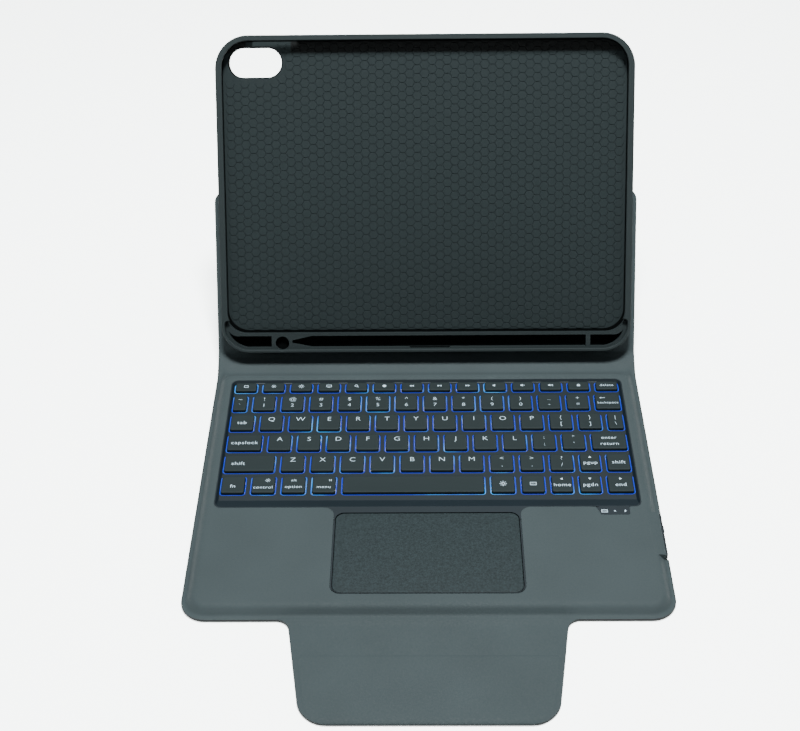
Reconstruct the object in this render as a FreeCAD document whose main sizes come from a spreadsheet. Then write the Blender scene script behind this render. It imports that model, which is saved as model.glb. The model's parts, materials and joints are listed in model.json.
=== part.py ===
import FreeCAD, Part
import Sketcher
import math
import os

# A tablet keyboard case: a slim keyboard base, a book-like spine, a two-part back
# cover whose upper part carries the tablet tray, and a magnetic closure flap.
# Millimetres. +Z is up, +Y points away from the user, and the origin is the middle
# of the base's underside. Parts are drawn from the base's front edge (Y = 0) and
# then moved back by origin_depth. The back cover and tray are drawn flat, with Y
# along the tray and Z out of its front, and then tilted.

V = FreeCAD.Vector

SIZES = {
    # base and its covers
    "origin_depth": 97.0,
    "base_width": 260.0,
    "spine_line": 195.3,
    "crease_gap": 1.4,
    "base_height": 6.5,
    "cover_thickness": 1.2,
    "flange_width": 3.0,
    "flange_top": 2.1,
    "bevel_run": 2.0,
    "skin": 1.0,
    "base_radius": 14.0,
    "plateau_radius": 9.0,
    "side_notch_depth": 2.0,
    "boss_setback": 0.7,
    "boss_top": 5.0,
    "brow_top": 6.1,
    "side_notch_front": 41.0,
    "side_notch_length": 32.0,
    # keyboard unit
    "unit_inset": 6.4,
    "unit_floor": 0.6,
    "wall": 1.0,
    "deck_thickness": 1.0,
    "deck_top": 4.4,
    "trim_top": 6.3,
    "recess_width": 238.8,
    "recess_front": 77.2,
    "recess_depth": 109.5,
    "recess_radius": 4.0,
    "recess_slope_run": 1.4,
    "ramp_depth": 7.0,
    "bridge_half_width": 53.5,
    "bridge_flare": 5.0,
    "led_tab_left": 95.5,
    "led_tab_width": 17.0,
    "led_tab_depth": 4.6,
    "touchpad_width": 101.6,
    "touchpad_front": 14.7,
    "touchpad_depth": 58.2,
    "touchpad_radius": 5.0,
    "touchpad_gap": 0.5,
    "touchpad_thickness": 0.9,
    "touchpad_top": 6.15,
    # keys
    "key_pitch": 17.23,
    "row_pitch": 17.57,
    "key_gap": 3.85,
    "field_width": 233.8,
    "first_row_front": 89.2,
    "function_key_depth": 7.6,
    "key_top": 6.1,
    "key_bottom": 4.1,
    "key_radius": 1.3,
    "key_chamfer": 0.4,
    "key_clearance": 0.45,
    "key_roof": 0.9,
    "key_skirt": 0.9,
    # folds
    "tilt": 59.0,
    "fold_height": 1.0,
    "closed_gap": 0.7,
    "crease_clearance": 1.15,
    "sheet_half": 1.0,
    "board_thickness": 0.8,
    "board_inset": 1.5,
    "rub_clearance": 0.3,
    "tray_rise": 1.36,
    "easel_line": 100.7,
    "panel_corner": 7.0,
    # tablet tray
    "tray_width": 252.6,
    "tray_height": 192.7,
    "tray_depth": 9.6,
    "tray_top_radius": 20.0,
    "tray_foot_radius": 17.0,
    "tray_floor": 2.7,
    "tablet_width": 248.0,
    "tablet_height": 178.6,
    "tablet_radius": 16.0,
    "ledge_top_edge": 12.0,
    "ledge_height": 6.6,
    "lip_width": 3.9,
    "lip_thickness": 1.3,
    "rim_width": 2.0,
    "back_edge_round": 2.2,
    "lip_round": 0.5,
    "liner_thickness": 0.5,
    "camera_middle": -102.6,
    "camera_height": 176.8,
    "camera_width": 32.0,
    "camera_tall": 17.6,
    # closure flap
    "flap_root_line": 2.6,
    "flap_root_length": 19.2,
    "flap_length": 65.0,
    "flap_root_width": 146.0,
    "flap_tip_width": 126.0,
    "flap_radius": 13.0,
}

doc = FreeCAD.newDocument("tablet_keyboard_case")
sheet = doc.addObject("Spreadsheet::Sheet", "Sizes")
for line, (alias, number) in enumerate(SIZES.items(), start=1):
    sheet.set("A%d" % line, alias)
    sheet.set("B%d" % line, str(number))
    sheet.setAlias("B%d" % line, alias)
doc.recompute()


class Size:
    """A length together with the sheet expression that drives it."""

    def __init__(self, number, text):
        self.number = number
        self.text = text

    def combine(self, other, sign, number):
        text = other.text if isinstance(other, Size) else repr(other)
        return Size(number, "(%s %s %s)" % (self.text, sign, text))

    def __add__(self, other):
        return self.combine(other, "+", self.number + float(other))

    def __sub__(self, other):
        return self.combine(other, "-", self.number - float(other))

    def __mul__(self, other):
        return self.combine(other, "*", self.number * float(other))

    def __truediv__(self, other):
        return self.combine(other, "/", self.number / float(other))

    def __float__(self):
        return float(self.number)


def size(alias):
    """The driving dimension of that name."""
    return Size(float(sheet.get(alias)), "Sizes." + alias)


def length(alias):
    """The driving dimension of that name as a plain number."""
    return float(sheet.get(alias))


parts = []


def keep(item, label, placement):
    """Names a finished sub-part and puts it in place."""
    item.Label = label
    item.Placement = placement
    parts.append(item)
    return item


standing = FreeCAD.Placement(V(0, -length("origin_depth"), 0), FreeCAD.Rotation())


# ---------------------------------------------------------------- sketch helpers

def new_body(name):
    return doc.addObject("PartDesign::Body", name)


def new_sketch(body, level, role="XY_Plane"):
    """A sketch on one of the body's own planes, raised to a level."""
    sketch = body.newObject("Sketcher::SketchObject", body.Name + "_sketch")
    base_plane = next(f for f in body.Origin.OriginFeatures if f.Role == role)
    sketch.AttachmentSupport = [(base_plane, "")]
    sketch.MapMode = "FlatFace"
    sketch.setExpression("AttachmentOffset.Base.z", level.text)
    return sketch


def rounded(body, level, left, front, width, depth, near_radius, far_radius=None):
    """A rounded rectangle whose lower left corner is at (left, front)."""
    far_radius = far_radius or near_radius
    sketch = new_sketch(body, level)
    sketch.setExpression("AttachmentOffset.Base.x", left.text)
    sketch.setExpression("AttachmentOffset.Base.y", front.text)
    wide, deep = float(width), float(depth)
    near, far = float(near_radius), float(far_radius)

    def corner(x, y, radius, start):
        circle = Part.Circle(V(x, y, 0), V(0, 0, 1), radius)
        turn = math.radians(start)
        return Part.ArcOfCircle(circle, turn, turn + math.pi / 2)

    sketch.addGeometry([
        Part.LineSegment(V(near, 0, 0), V(wide - near, 0, 0)),
        corner(wide - near, near, near, -90),
        Part.LineSegment(V(wide, near, 0), V(wide, deep - far, 0)),
        corner(wide - far, deep - far, far, 0),
        Part.LineSegment(V(wide - far, deep, 0), V(far, deep, 0)),
        corner(far, deep - far, far, 90),
        Part.LineSegment(V(0, deep - far, 0), V(0, near, 0)),
        corner(near, near, near, 180),
    ])
    for index in range(8):
        sketch.addConstraint(Sketcher.Constraint("Tangent", index, 2, (index + 1) % 8, 1))
    for index in (0, 4):
        sketch.addConstraint(Sketcher.Constraint("Horizontal", index))
        sketch.addConstraint(Sketcher.Constraint("Vertical", index + 2))
    sketch.addConstraint(Sketcher.Constraint("Equal", 1, 7))
    sketch.addConstraint(Sketcher.Constraint("Equal", 3, 5))
    sketch.addConstraint(Sketcher.Constraint("PointOnObject", 0, 1, -1))
    sketch.addConstraint(Sketcher.Constraint("PointOnObject", 6, 1, -2))
    named = (
        ("Wide", Sketcher.Constraint("DistanceX", 6, 1, 2, 2, wide), width),
        ("Deep", Sketcher.Constraint("DistanceY", 0, 1, 4, 2, deep), depth),
        ("Near", Sketcher.Constraint("Radius", 1, near), near_radius),
        ("Far", Sketcher.Constraint("Radius", 3, far), far_radius),
    )
    for name, constraint, driver in named:
        index = sketch.addConstraint(constraint)
        sketch.renameConstraint(index, name)
        sketch.setExpression("Constraints." + name, driver.text)
    return sketch


def drawn(body, level, edges, role="XY_Plane"):
    """A closed outline from edges in order, joined end to end."""
    sketch = new_sketch(body, level, role)
    sketch.addGeometry(edges)
    for index in range(len(edges)):
        after = (index + 1) % len(edges)
        pairs = [(a, b) for a in (2, 1) for b in (1, 2)]
        gaps = [(sketch.getPoint(index, a) - sketch.getPoint(after, b)).Length for a, b in pairs]
        a, b = pairs[gaps.index(min(gaps))]
        sketch.addConstraint(Sketcher.Constraint("Coincident", index, a, after, b))
    return sketch


def polygon(points):
    """Straight edges round a list of (x, y) points."""
    ends = points[1:] + points[:1]
    return [Part.LineSegment(V(*a, 0), V(*b, 0)) for a, b in zip(points, ends)]


def pad(body, sketch, height, taper=0.0):
    feature = body.newObject("PartDesign::Pad", body.Name + "_pad")
    feature.Profile = sketch
    feature.setExpression("Length", height.text)
    feature.TaperAngle = taper
    return feature


def pocket(body, sketch, depth, taper=0.0, upward=False):
    """Cuts down from the sketch, or up into what lies above it."""
    feature = body.newObject("PartDesign::Pocket", body.Name + "_pocket")
    feature.Profile = sketch
    feature.setExpression("Length", depth.text)
    feature.TaperAngle = taper
    feature.Reversed = upward
    return feature


def soften(body, edges, radius):
    """Rounds some edges of the body as it stands."""
    names = []
    for number, edge in enumerate(body.Shape.Edges, start=1):
        if any(edge.isSame(other) for other in edges):
            names.append("Edge%d" % number)
    before = body.Tip
    feature = body.newObject("PartDesign::Fillet", body.Name + "_round")
    feature.Base = (before, names)
    feature.setExpression("Radius", radius.text)
    doc.recompute()
    return feature


def centred(width):
    """The left edge of something this wide that is centred on X = 0."""
    return width * -0.5


def machined(blank, label, cutters, placement):
    """A node that is the blank with some openings cut through it."""
    blank.Label = label + "_blank"
    blank.Placement = placement
    tool = doc.addObject("Part::Feature", label + "_openings")
    tool.Shape = Part.makeCompound(cutters)
    tool.Placement = placement
    finished = doc.addObject("Part::Cut", label + "_cut")
    finished.Base = blank
    finished.Tool = tool
    finished.Label = label
    parts.append(finished)


def slab(label, left, front, low, width, depth, height, placement=standing):
    """A plain box whose place and size come from the sheet."""
    box = doc.addObject("Part::Box", label + "_box")
    for prop, driver in (("Length", width), ("Width", depth), ("Height", height)):
        box.setExpression(prop, driver.text)
    corner = FreeCAD.Placement(V(float(left), float(front), float(low)), FreeCAD.Rotation())
    return keep(box, label, placement.multiply(corner))


def round_box(x, y, z, wide, deep, high, radius):
    """A box with its four upright edges rounded."""
    box = Part.makeBox(wide, deep, high, V(x, y, z))
    upright = [e for e in box.Edges if abs(e.tangentAt(e.FirstParameter).z) > 0.9]
    return box.makeFillet(radius, upright)


# ---------------------------------------------------------------- base covers

zero = size("base_height") * 0
cover = size("cover_thickness")
base_width = size("base_width")
base_length = size("spine_line") - size("crease_gap")
flange_top = size("flange_top")
base_height = size("base_height")
skin = size("skin")
sharp = size("skin") * 1.0

wall = size("wall")
bevel_angle = math.degrees(math.atan(length("bevel_run") / (length("base_height") - length("flange_top"))))
notch_front = size("side_notch_front")
notch_length = size("side_notch_length")
notch_left = base_width * 0.5 - size("side_notch_depth")


def side_notch(body, level, depth, upward):
    """Opens the right edge in front of the port and the power switch."""
    beyond = size("flange_width") * 2
    sketch = rounded(body, level, notch_left, notch_front, beyond, notch_length, skin)
    pocket(body, sketch, depth, upward=upward)


def base_outer_cover():
    """The skin under the base, with a short tongue that carries the closure flap."""
    body = new_body("base_outer_cover")
    sketch = rounded(body, zero, centred(base_width), zero, base_width, base_length,
                     size("base_radius"), sharp)
    pad(body, sketch, cover)
    tongue_reach = size("flap_root_line") - size("crease_clearance")
    tongue_width = size("flap_root_width")
    tongue = rounded(body, zero, centred(tongue_width), tongue_reach * -1, tongue_width, tongue_reach * 2,
                     size("key_chamfer"))
    pad(body, tongue, size("sheet_half"))
    side_notch(body, cover, cover, False)
    keep(body, "base_outer_cover", standing)


def base_top_cover():
    """The moulded skin: a flat flange, a soft bevel and a plateau with one opening."""
    body = new_body("base_top_cover")
    flange = size("flange_width")
    flange_sketch = rounded(body, cover, centred(base_width), zero, base_width, base_length,
                            size("base_radius"), sharp)
    pad(body, flange_sketch, flange_top - cover)
    plateau = rounded(body, flange_top, centred(base_width - flange * 2), flange,
                      base_width - flange * 2, base_length - flange * 2,
                      size("base_radius") - flange, size("plateau_radius"))
    pad(body, plateau, base_height - flange_top, taper=-bevel_angle)
    inset = flange + cover
    hollow = rounded(body, cover, centred(base_width - inset * 2), inset,
                     base_width - inset * 2, base_length - inset * 2,
                     size("base_radius") - inset, size("plateau_radius") - skin)
    pocket(body, hollow, base_height - skin - cover, taper=-bevel_angle, upward=True)
    over = base_height + skin
    for sketch in trim_outlines(body, over):
        pocket(body, sketch, skin * 3)
    brow_left = base_width * 0.5 - size("unit_inset") - skin * 0.4
    brow_bottom = size("boss_top") + skin * 0.2
    brow = rounded(body, brow_bottom, brow_left, notch_front - wall, notch_left - brow_left,
                   notch_length + wall * 2, wall * 0.8)
    pad(body, brow, size("brow_top") - brow_bottom)
    window_left = base_width * 0.5 - size("unit_inset") - skin
    port_window = rounded(body, cover - skin, window_left, notch_front, size("unit_inset") * 2,
                          notch_length, skin)
    pocket(body, port_window, brow_bottom - cover + skin, upward=True)
    keep(body, "base_top_cover", standing)


def trim_outlines(body, level):
    """The outlines that show through the skin: keys, bridge, touchpad and light tab."""
    wide = size("recess_width")
    key_field = rounded(body, level, centred(wide), size("recess_front"), wide, size("recess_depth"),
                        size("recess_radius"))
    pad_wide = size("touchpad_width") + size("touchpad_gap") * 2
    pad_front = size("touchpad_front") - size("touchpad_gap")
    pad_deep = size("touchpad_depth") + size("touchpad_gap") * 2
    touch_field = rounded(body, level, centred(pad_wide), pad_front, pad_wide, pad_deep,
                          size("touchpad_radius") + size("touchpad_gap"))
    half = length("bridge_half_width")
    flare = length("bridge_flare")
    near = length("touchpad_front") + length("touchpad_depth") - length("touchpad_radius")
    far = length("recess_front") + length("recess_radius")
    edge = length("recess_front")
    bend = math.sqrt(0.5)

    def sweep(side):
        """The concave curve by which the bridge widens into the key field."""
        corner = V(side * (half + flare), edge - flare, 0)
        middle = corner + V(-side * bend * flare, bend * flare, 0)
        low, high = V(side * half, edge - flare, 0), V(side * (half + flare), edge, 0)
        return Part.Arc(low, middle, high) if side > 0 else Part.Arc(high, middle, low)

    bridge = drawn(body, level, [
        Part.LineSegment(V(-half, near, 0), V(half, near, 0)),
        Part.LineSegment(V(half, near, 0), V(half, edge - flare, 0)),
        sweep(1),
        Part.LineSegment(V(half + flare, edge, 0), V(half + flare, far, 0)),
        Part.LineSegment(V(half + flare, far, 0), V(-half - flare, far, 0)),
        Part.LineSegment(V(-half - flare, far, 0), V(-half - flare, edge, 0)),
        sweep(-1),
        Part.LineSegment(V(-half, edge - flare, 0), V(-half, near, 0)),
    ])
    tab = rounded(body, level, size("led_tab_left"), size("recess_front") - size("led_tab_depth"),
                  size("led_tab_width"), size("led_tab_depth") + size("recess_radius"), size("key_radius"))
    return [key_field, touch_field, bridge, tab]


# ---------------------------------------------------------------- keyboard unit

unit_inset = size("unit_inset")
unit_width = base_width - unit_inset * 2
unit_depth = base_length - unit_inset * 2
unit_floor_top = cover + size("unit_floor")
housing_top = base_height - skin
boss_face = base_width * 0.5 - size("boss_setback")
deck_bottom = size("deck_top") - size("deck_thickness")


def lower_housing():
    body = new_body("lower_housing")
    outer = rounded(body, cover, centred(unit_width), unit_inset, unit_width, unit_depth,
                    size("base_radius") - unit_inset)
    pad(body, outer, deck_bottom - cover)
    boss_left = base_width * 0.5 - unit_inset - wall * 2
    boss = rounded(body, cover, boss_left, notch_front + wall * 0.5,
                   boss_face - boss_left, notch_length - wall, wall * 0.6)
    pad(body, boss, size("boss_top") - cover)
    hollow = rounded(body, deck_bottom, centred(unit_width - wall * 2), unit_inset + wall,
                     unit_width - wall * 2, unit_depth - wall * 2, wall)
    pocket(body, hollow, deck_bottom - unit_floor_top)
    channel = rounded(body, base_height, boss_left - wall * 2, notch_front + wall * 2,
                      boss_face - boss_left + wall, notch_length - wall * 4, wall * 0.5)
    channel_top = size("boss_top") - wall * 0.6
    channel.setExpression("AttachmentOffset.Base.z", channel_top.text)
    pocket(body, channel, channel_top - unit_floor_top)
    machined(body, "lower_housing", [port_hole(0.15), switch_hole(), lamp_hole()] + screws(), standing)


side_middle_height = 3.2
port_middle = length("side_notch_front") + 7.2
lamp_middle = port_middle + 7.4
switch_middle = lamp_middle + 8.6
side_face = float(boss_face)


def port_hole(clearance):
    """The stadium-shaped mouth of the charging socket."""
    wide, high = 8.9 + 2 * clearance, 2.8 + 2 * clearance
    corner = V(side_face - 7.5, port_middle - wide / 2, side_middle_height - high / 2)
    box = Part.makeBox(9, wide, high, corner)
    along = [e for e in box.Edges if abs(e.tangentAt(e.FirstParameter).x) > 0.9]
    return box.makeFillet(high / 2 - 0.05, along)


def switch_hole():
    return Part.makeBox(4, 9.0, 2.2, V(side_face - 3, switch_middle - 4.5, side_middle_height - 1.1))


def lamp_hole():
    return Part.makeCylinder(0.7, 4, V(side_face - 3, lamp_middle, side_middle_height), V(1, 0, 0))


def upper_housing():
    """The deck: a plate under the skin, raised trim, a sloped key recess and key holes."""
    body = new_body("upper_housing")
    plate = rounded(body, deck_bottom, centred(unit_width), unit_inset, unit_width, unit_depth,
                    size("base_radius") - unit_inset)
    pad(body, plate, housing_top - deck_bottom)
    for sketch in trim_outlines(body, housing_top - wall * 0.5):
        pad(body, sketch, size("trim_top") - housing_top + wall * 0.5)
    slope = math.degrees(math.atan(length("recess_slope_run") / (length("trim_top") - length("deck_top"))))
    lip = wall * 0.5
    recess_width = size("recess_width") - lip * 2
    recess = rounded(body, size("trim_top"), centred(recess_width), size("recess_front") + lip,
                     recess_width, size("recess_depth") - lip * 1.4, size("recess_radius"))
    pocket(body, recess, size("trim_top") - size("deck_top"), taper=-slope)
    ramp(body, recess_width - lip * 2)
    opening = size("touchpad_width") + size("touchpad_gap") * 0.5
    touch_front = size("touchpad_front") - size("touchpad_gap") * 0.25
    well = rounded(body, size("trim_top"), centred(opening), touch_front, opening,
                   size("touchpad_depth") + size("touchpad_gap") * 0.5, size("touchpad_radius"))
    pocket(body, well, base_height)
    for index in range(2):
        bay_left = Size(BATTERY_LEFTS[index] - 0.5, repr(BATTERY_LEFTS[index] - 0.5))
        bay = rounded(body, housing_top - wall, bay_left, unit_inset + wall * 2.5,
                      zero + (BATTERY_WIDTH + 1.0), zero + (BATTERY_DEPTH + 1.0), wall)
        pocket(body, bay, base_height)
    side_bay = rounded(body, base_height, base_width * 0.5 - unit_inset - wall * 3, notch_front - wall,
                       wall * 4, notch_length + wall * 2, wall)
    pocket(body, side_bay, base_height)
    holes = [hole for row in key_rows() for hole in row_shapes(row, key_hole)]
    lamps = [Part.makeCylinder(LAMP_RADIUS, 9, V(x, lamp_row(), 0)) for x in lamp_places()]
    machined(body, "upper_housing", holes + lamps + screws(), standing)


def ramp(body, wide):
    """The gentle slope in front of the keys, from the deck up to the trim."""
    front = length("recess_front") + 0.3
    back = front + length("ramp_depth")
    low, high = length("deck_top"), length("trim_top")
    profile = [(front, low - 0.2), (back, low - 0.2), (back, low), (front, high)]
    sketch = drawn(body, zero, polygon(profile), "YZ_Plane")
    feature = pad(body, sketch, wide)
    feature.Midplane = True


BATTERY_WIDTH = 62.0
BATTERY_DEPTH = 58.0
BATTERY_LEFTS = (-118.0, 56.0)
LAMP_RADIUS = 0.75


def lamp_places():
    """Three status lamps, evenly spaced on the light tab."""
    middle = length("led_tab_left") + length("led_tab_width") / 2
    return [middle + step * 5.8 for step in (-1, 0, 1)]


def lamp_row():
    return length("recess_front") - length("led_tab_depth") / 2 + 0.4


# ---------------------------------------------------------------- keys

def key_rows():
    """Rows from the front: each is its front edge, its depth and (node, slot) pairs.

    A slot is a share of the key pitch. The last key of a row ends at the field's edge."""
    deep = length("row_pitch") - length("key_gap")
    shallow = length("function_key_depth")
    letters = [
        [("fn_key", 1.0), ("control_key", 1.0), ("option_key", 1.0), ("command_key", 1.0),
         ("space_bar", 4.9), ("backlight_key", 1.0), ("keyboard_key", 0.98),
         ("left_arrow_key", 0.92), ("down_arrow_key", 0.93), ("right_arrow_key", 1.0)],
        [("left_shift_key", 1.904)] + [("lower_letter_keys", 1.0)] * 10
        + [("up_arrow_key", 0.9), ("right_shift_key", 1.0)],
        [("caps_lock_key", 1.39)] + [("home_letter_keys", 1.0)] * 11 + [("enter_key", 1.4)],
        [("tab_key", 1.034)] + [("upper_letter_keys", 1.0)] * 12 + [("backslash_key", 0.7)],
        [("number_keys", 0.7)] + [("number_keys", 1.0)] * 12 + [("backspace_key", 1.1)],
        [("function_keys", 0.984)] * 14,
    ]
    rows = []
    for index, keys in enumerate(letters):
        front = length("first_row_front") + index * length("row_pitch")
        rows.append((front, shallow if index == len(letters) - 1 else deep, keys))
    return rows


def row_shapes(row, shape):
    """shape(left, front, wide, deep) for each key of a row."""
    front, deep, keys = row
    left = -length("field_width") / 2
    made = []
    for index, (node, slot) in enumerate(keys):
        step = slot * length("key_pitch")
        wide = step - length("key_gap")
        if index == len(keys) - 1:
            wide = length("field_width") / 2 - left
        made.append(shape(left, front, wide, deep))
        left += step
    return made


def key_cap(left, front, wide, deep):
    """A hollow cap with rounded upright corners and a chamfered top."""
    low, high = length("key_bottom"), length("key_top")
    cap = round_box(left, front, low, wide, deep, high - low, length("key_radius"))
    rim = [e for e in cap.Edges if e.BoundBox.ZMin > high - 0.01]
    cap = cap.makeChamfer(length("key_chamfer"), rim)
    skirt = length("key_skirt")
    inside = high - low - length("key_roof")
    corner = V(left + skirt, front + skirt, low - 1)
    hollow = Part.makeBox(wide - 2 * skirt, deep - 2 * skirt, inside + 1, corner)
    return cap.cut(hollow)


def key_hole(left, front, wide, deep):
    gap = length("key_clearance")
    return round_box(left - gap, front - gap, 0, wide + 2 * gap, deep + 2 * gap, length("base_height") * 2,
                     length("key_radius") + gap)


def dome(left, front, wide, deep):
    """The rubber dome in the middle of a key."""
    top = length("key_top") - length("key_roof") - KEY_TRAVEL - 0.1
    radius = min(2.6, min(wide, deep) / 2 - SCISSOR_BORDER)
    foot = V(left + wide / 2, front + deep / 2, MEMBRANE_TOP)
    return Part.makeCone(radius, radius * 0.55, top - MEMBRANE_TOP, foot)


def scissor(left, front, wide, deep):
    """The folded support frame round a dome."""
    across, along = min(wide, 13.5) - 2.6, deep - 2.6
    x, y = left + (wide - across) / 2, front + (deep - along) / 2
    frame = Part.makeBox(across, along, SCISSOR_HEIGHT, V(x, y, MEMBRANE_TOP))
    return frame.cut(Part.makeBox(across - 1.2, along - 1.2, 2, V(x + 0.6, y + 0.6, MEMBRANE_TOP - 0.5)))


KEY_TRAVEL = 1.2
MEMBRANE_TOP = 2.5
SCISSOR_HEIGHT = 0.35
SCISSOR_BORDER = 2.15


def shaped(label, shapes, placement=standing):
    """A node made of one or several like solids."""
    item = doc.addObject("Part::Feature", label)
    item.Shape = shapes[0] if len(shapes) == 1 else Part.makeCompound(shapes)
    return keep(item, label, placement)


def keys():
    caps = {}
    for row in key_rows():
        names = [node for node, slot in row[2]]
        for node, cap in zip(names, row_shapes(row, key_cap)):
            caps.setdefault(node, []).append(cap)
    for node, shapes in caps.items():
        shaped(node, shapes)
    every = [s for row in key_rows() for s in row_shapes(row, dome)]
    shaped("rubber_domes", every)
    shaped("scissor_supports", [s for row in key_rows() for s in row_shapes(row, scissor)])


def key_layers():
    """The flat layers under the keys, from the floor up."""
    wide = size("recess_width") - wall * 2
    front = size("recess_front") + size("ramp_depth")
    deep = size("recess_depth") - size("ramp_depth") - wall * 4.5
    level = unit_floor_top
    for label, thick in (("key_support_plate", 0.3), ("light_guide", 0.25), ("membrane_circuit", 0.15)):
        slab(label, centred(wide), front, level, wide, deep, zero + thick)
        level = level + thick


# ---------------------------------------------------------------- electronics and small parts

def touchpad():
    body = new_body("touchpad")
    thick = size("touchpad_thickness")
    gap = size("touchpad_gap") * 0.5
    wide = size("touchpad_width") - gap * 2
    sketch = rounded(body, size("touchpad_top") - thick, centred(wide), size("touchpad_front") + gap,
                     wide, size("touchpad_depth") - gap * 2, size("touchpad_radius") - gap)
    pad(body, sketch, thick)
    keep(body, "touchpad", standing)
    board_height = zero + 0.6
    board_wide = wide - 8
    slab("touchpad_board", centred(board_wide), size("touchpad_front") + 4,
         size("touchpad_top") - thick - board_height, board_wide, size("touchpad_depth") - 8, board_height)
    stem_top = length("touchpad_top") - length("touchpad_thickness") - 0.6 - 0.65
    front = length("touchpad_front")
    floor = float(unit_floor_top)
    case = Part.makeBox(5.2, 5.2, stem_top - 0.6 - floor, V(-2.6, front + 6, floor))
    stem = Part.makeCylinder(1.2, 0.7, V(0, front + 8.6, stem_top - 0.7))
    shaped("touchpad_switch", [case.fuse(stem)])


def electronics():
    floor = float(unit_floor_top)
    board_front = length("touchpad_front") + length("touchpad_depth") - 32
    board = Part.makeBox(96, 34, 0.8, V(-48, board_front, floor))
    chips = [Part.makeBox(9, 9, 0.9, V(-30, board_front + 8, floor + 0.8)),
             Part.makeBox(5, 7, 0.8, V(-8, board_front + 10, floor + 0.8)),
             Part.makeBox(14, 10, 1.1, V(20, board_front + 12, floor + 0.8))]
    for chip in chips:
        board = board.fuse(chip)
    shaped("main_board", [board.removeSplitter()])
    front = float(unit_inset) + 3.0
    cell = (BATTERY_WIDTH, BATTERY_DEPTH, 2.4)
    shaped("battery_cells", [round_box(left, front, floor, *cell, 1.2) for left in BATTERY_LEFTS])
    board_left = side_face - 9.5
    port_strip = Part.makeBox(2.4, 26, 0.6, V(board_left, port_middle - 5, floor))
    shaped("port_board", [port_strip.cut(port_hole(0.3))])
    shell = port_hole(-0.1)
    mouth = Part.makeBox(7, 8.2, 2.1, V(side_face - 6.0, port_middle - 4.1, side_middle_height - 1.05))
    cut_off = Part.makeBox(4, 14, 6, V(side_face - 0.25, port_middle - 7, side_middle_height - 3))
    tongue = Part.makeBox(4.6, 6.6, 0.7, V(side_face - 6.4, port_middle - 3.3, side_middle_height - 0.35))
    shaped("usb_c_port", [shell.cut(mouth).cut(cut_off).fuse(tongue)])
    knob = Part.makeBox(2.2, 4.2, 1.7, V(side_face - 1.7, switch_middle - 4.2, side_middle_height - 0.85))
    foot = Part.makeBox(1.4, 4.2, 1.7, V(side_face - 3.0, switch_middle - 4.2, side_middle_height - 0.85))
    shaped("power_switch", [knob.fuse(foot).removeSplitter()])
    lamp_foot = V(side_face - 2.1, lamp_middle, side_middle_height)
    shaped("power_lamp", [Part.makeCylinder(0.6, 2.0, lamp_foot, V(1, 0, 0))])
    lens_foot = floor + 0.3
    lens_height = length("trim_top") - lens_foot
    lenses = []
    for x in lamp_places():
        lenses.append(Part.makeCylinder(LAMP_RADIUS - 0.03, lens_height, V(x, lamp_row(), lens_foot)))
    shaped("status_lenses", lenses)


def screws():
    """Eight countersunk screws that hold the two housings together, from below."""
    reach = length("base_width") / 2 - float(unit_inset) - 3.0
    back = length("spine_line") - 12.0
    made = []
    for side in (-1, 1):
        for x, y in ((reach, 10.5), (reach, 77.5), (reach, back), (52.9, 10.5)):
            head = Part.makeCone(1.5, 0.8, 0.6, V(side * x, y, float(cover)))
            shank = Part.makeCylinder(0.75, 2.6, V(side * x, y, float(cover) + 0.5))
            made.append(head.fuse(shank).removeSplitter())
    return made


def rear_magnets():
    """Bar magnets under the rear of the deck, which hold the tray's lower edge."""
    front = float(unit_inset + unit_depth - wall) - 2.0
    bars = [Part.makeBox(34, 1.9, 0.9, V(x - 17, front, float(unit_floor_top))) for x in (-78, -26, 26, 78)]
    shaped("rear_magnets", bars)


# ---------------------------------------------------------------- spine and back cover

half_sheet = size("sheet_half")
board = size("board_thickness")
layer = half_sheet - board * 0.5
spine_length = size("base_height") + size("closed_gap") + size("tray_depth")
clear = size("crease_clearance")
tilt = length("tilt")
turn_x = V(1, 0, 0)

hinge_y = length("spine_line")
hinge_z = length("fold_height")
spine_place = standing.multiply(FreeCAD.Placement(V(0, hinge_y, hinge_z), FreeCAD.Rotation(turn_x, tilt / 2)))
along_spine = spine_place.multVec(V(0, float(spine_length), 0))
tilted = FreeCAD.Placement(along_spine, FreeCAD.Rotation(turn_x, tilt)).multiply(
    FreeCAD.Placement(V(0, length("tray_rise"), float(half_sheet)), FreeCAD.Rotation()))


def strip(label, low, front, depth, width, thick, near, far, placement):
    """One flat layer of a folio panel."""
    body = new_body(label)
    sketch = rounded(body, low, centred(width), front, width, depth, near, far)
    pad(body, sketch, thick)
    return keep(body, label, placement)


def spine():
    depth = spine_length - clear * 2
    inset = size("board_inset")
    edge = size("key_chamfer")
    strip("spine_outer_cover", half_sheet * -1, clear, depth, base_width, layer, edge, edge, spine_place)
    strip("spine_board", board * -0.5, clear + inset, depth - inset * 2, base_width - inset * 2, board,
          edge, edge, spine_place)
    strip("spine_lining", board * 0.5, clear, depth, base_width, layer, edge, edge, spine_place)


def lower_back():
    """The lower back cover, from the spine to the easel fold."""
    front = clear - size("tray_rise")
    depth = size("easel_line") - clear - front
    inset = size("board_inset")
    edge = size("key_chamfer")
    corner = size("panel_corner")
    strip("lower_back_cover", half_sheet * -2, front, depth, base_width, layer, edge, corner, tilted)
    strip("lower_back_board", layer - half_sheet * 2, front + inset, depth - inset * 2,
          base_width - inset * 2, board, edge, corner - inset, tilted)
    lining = layer - size("rub_clearance")
    strip("lower_back_lining", layer * -1, front, depth, base_width, lining, edge, corner, tilted)


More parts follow.
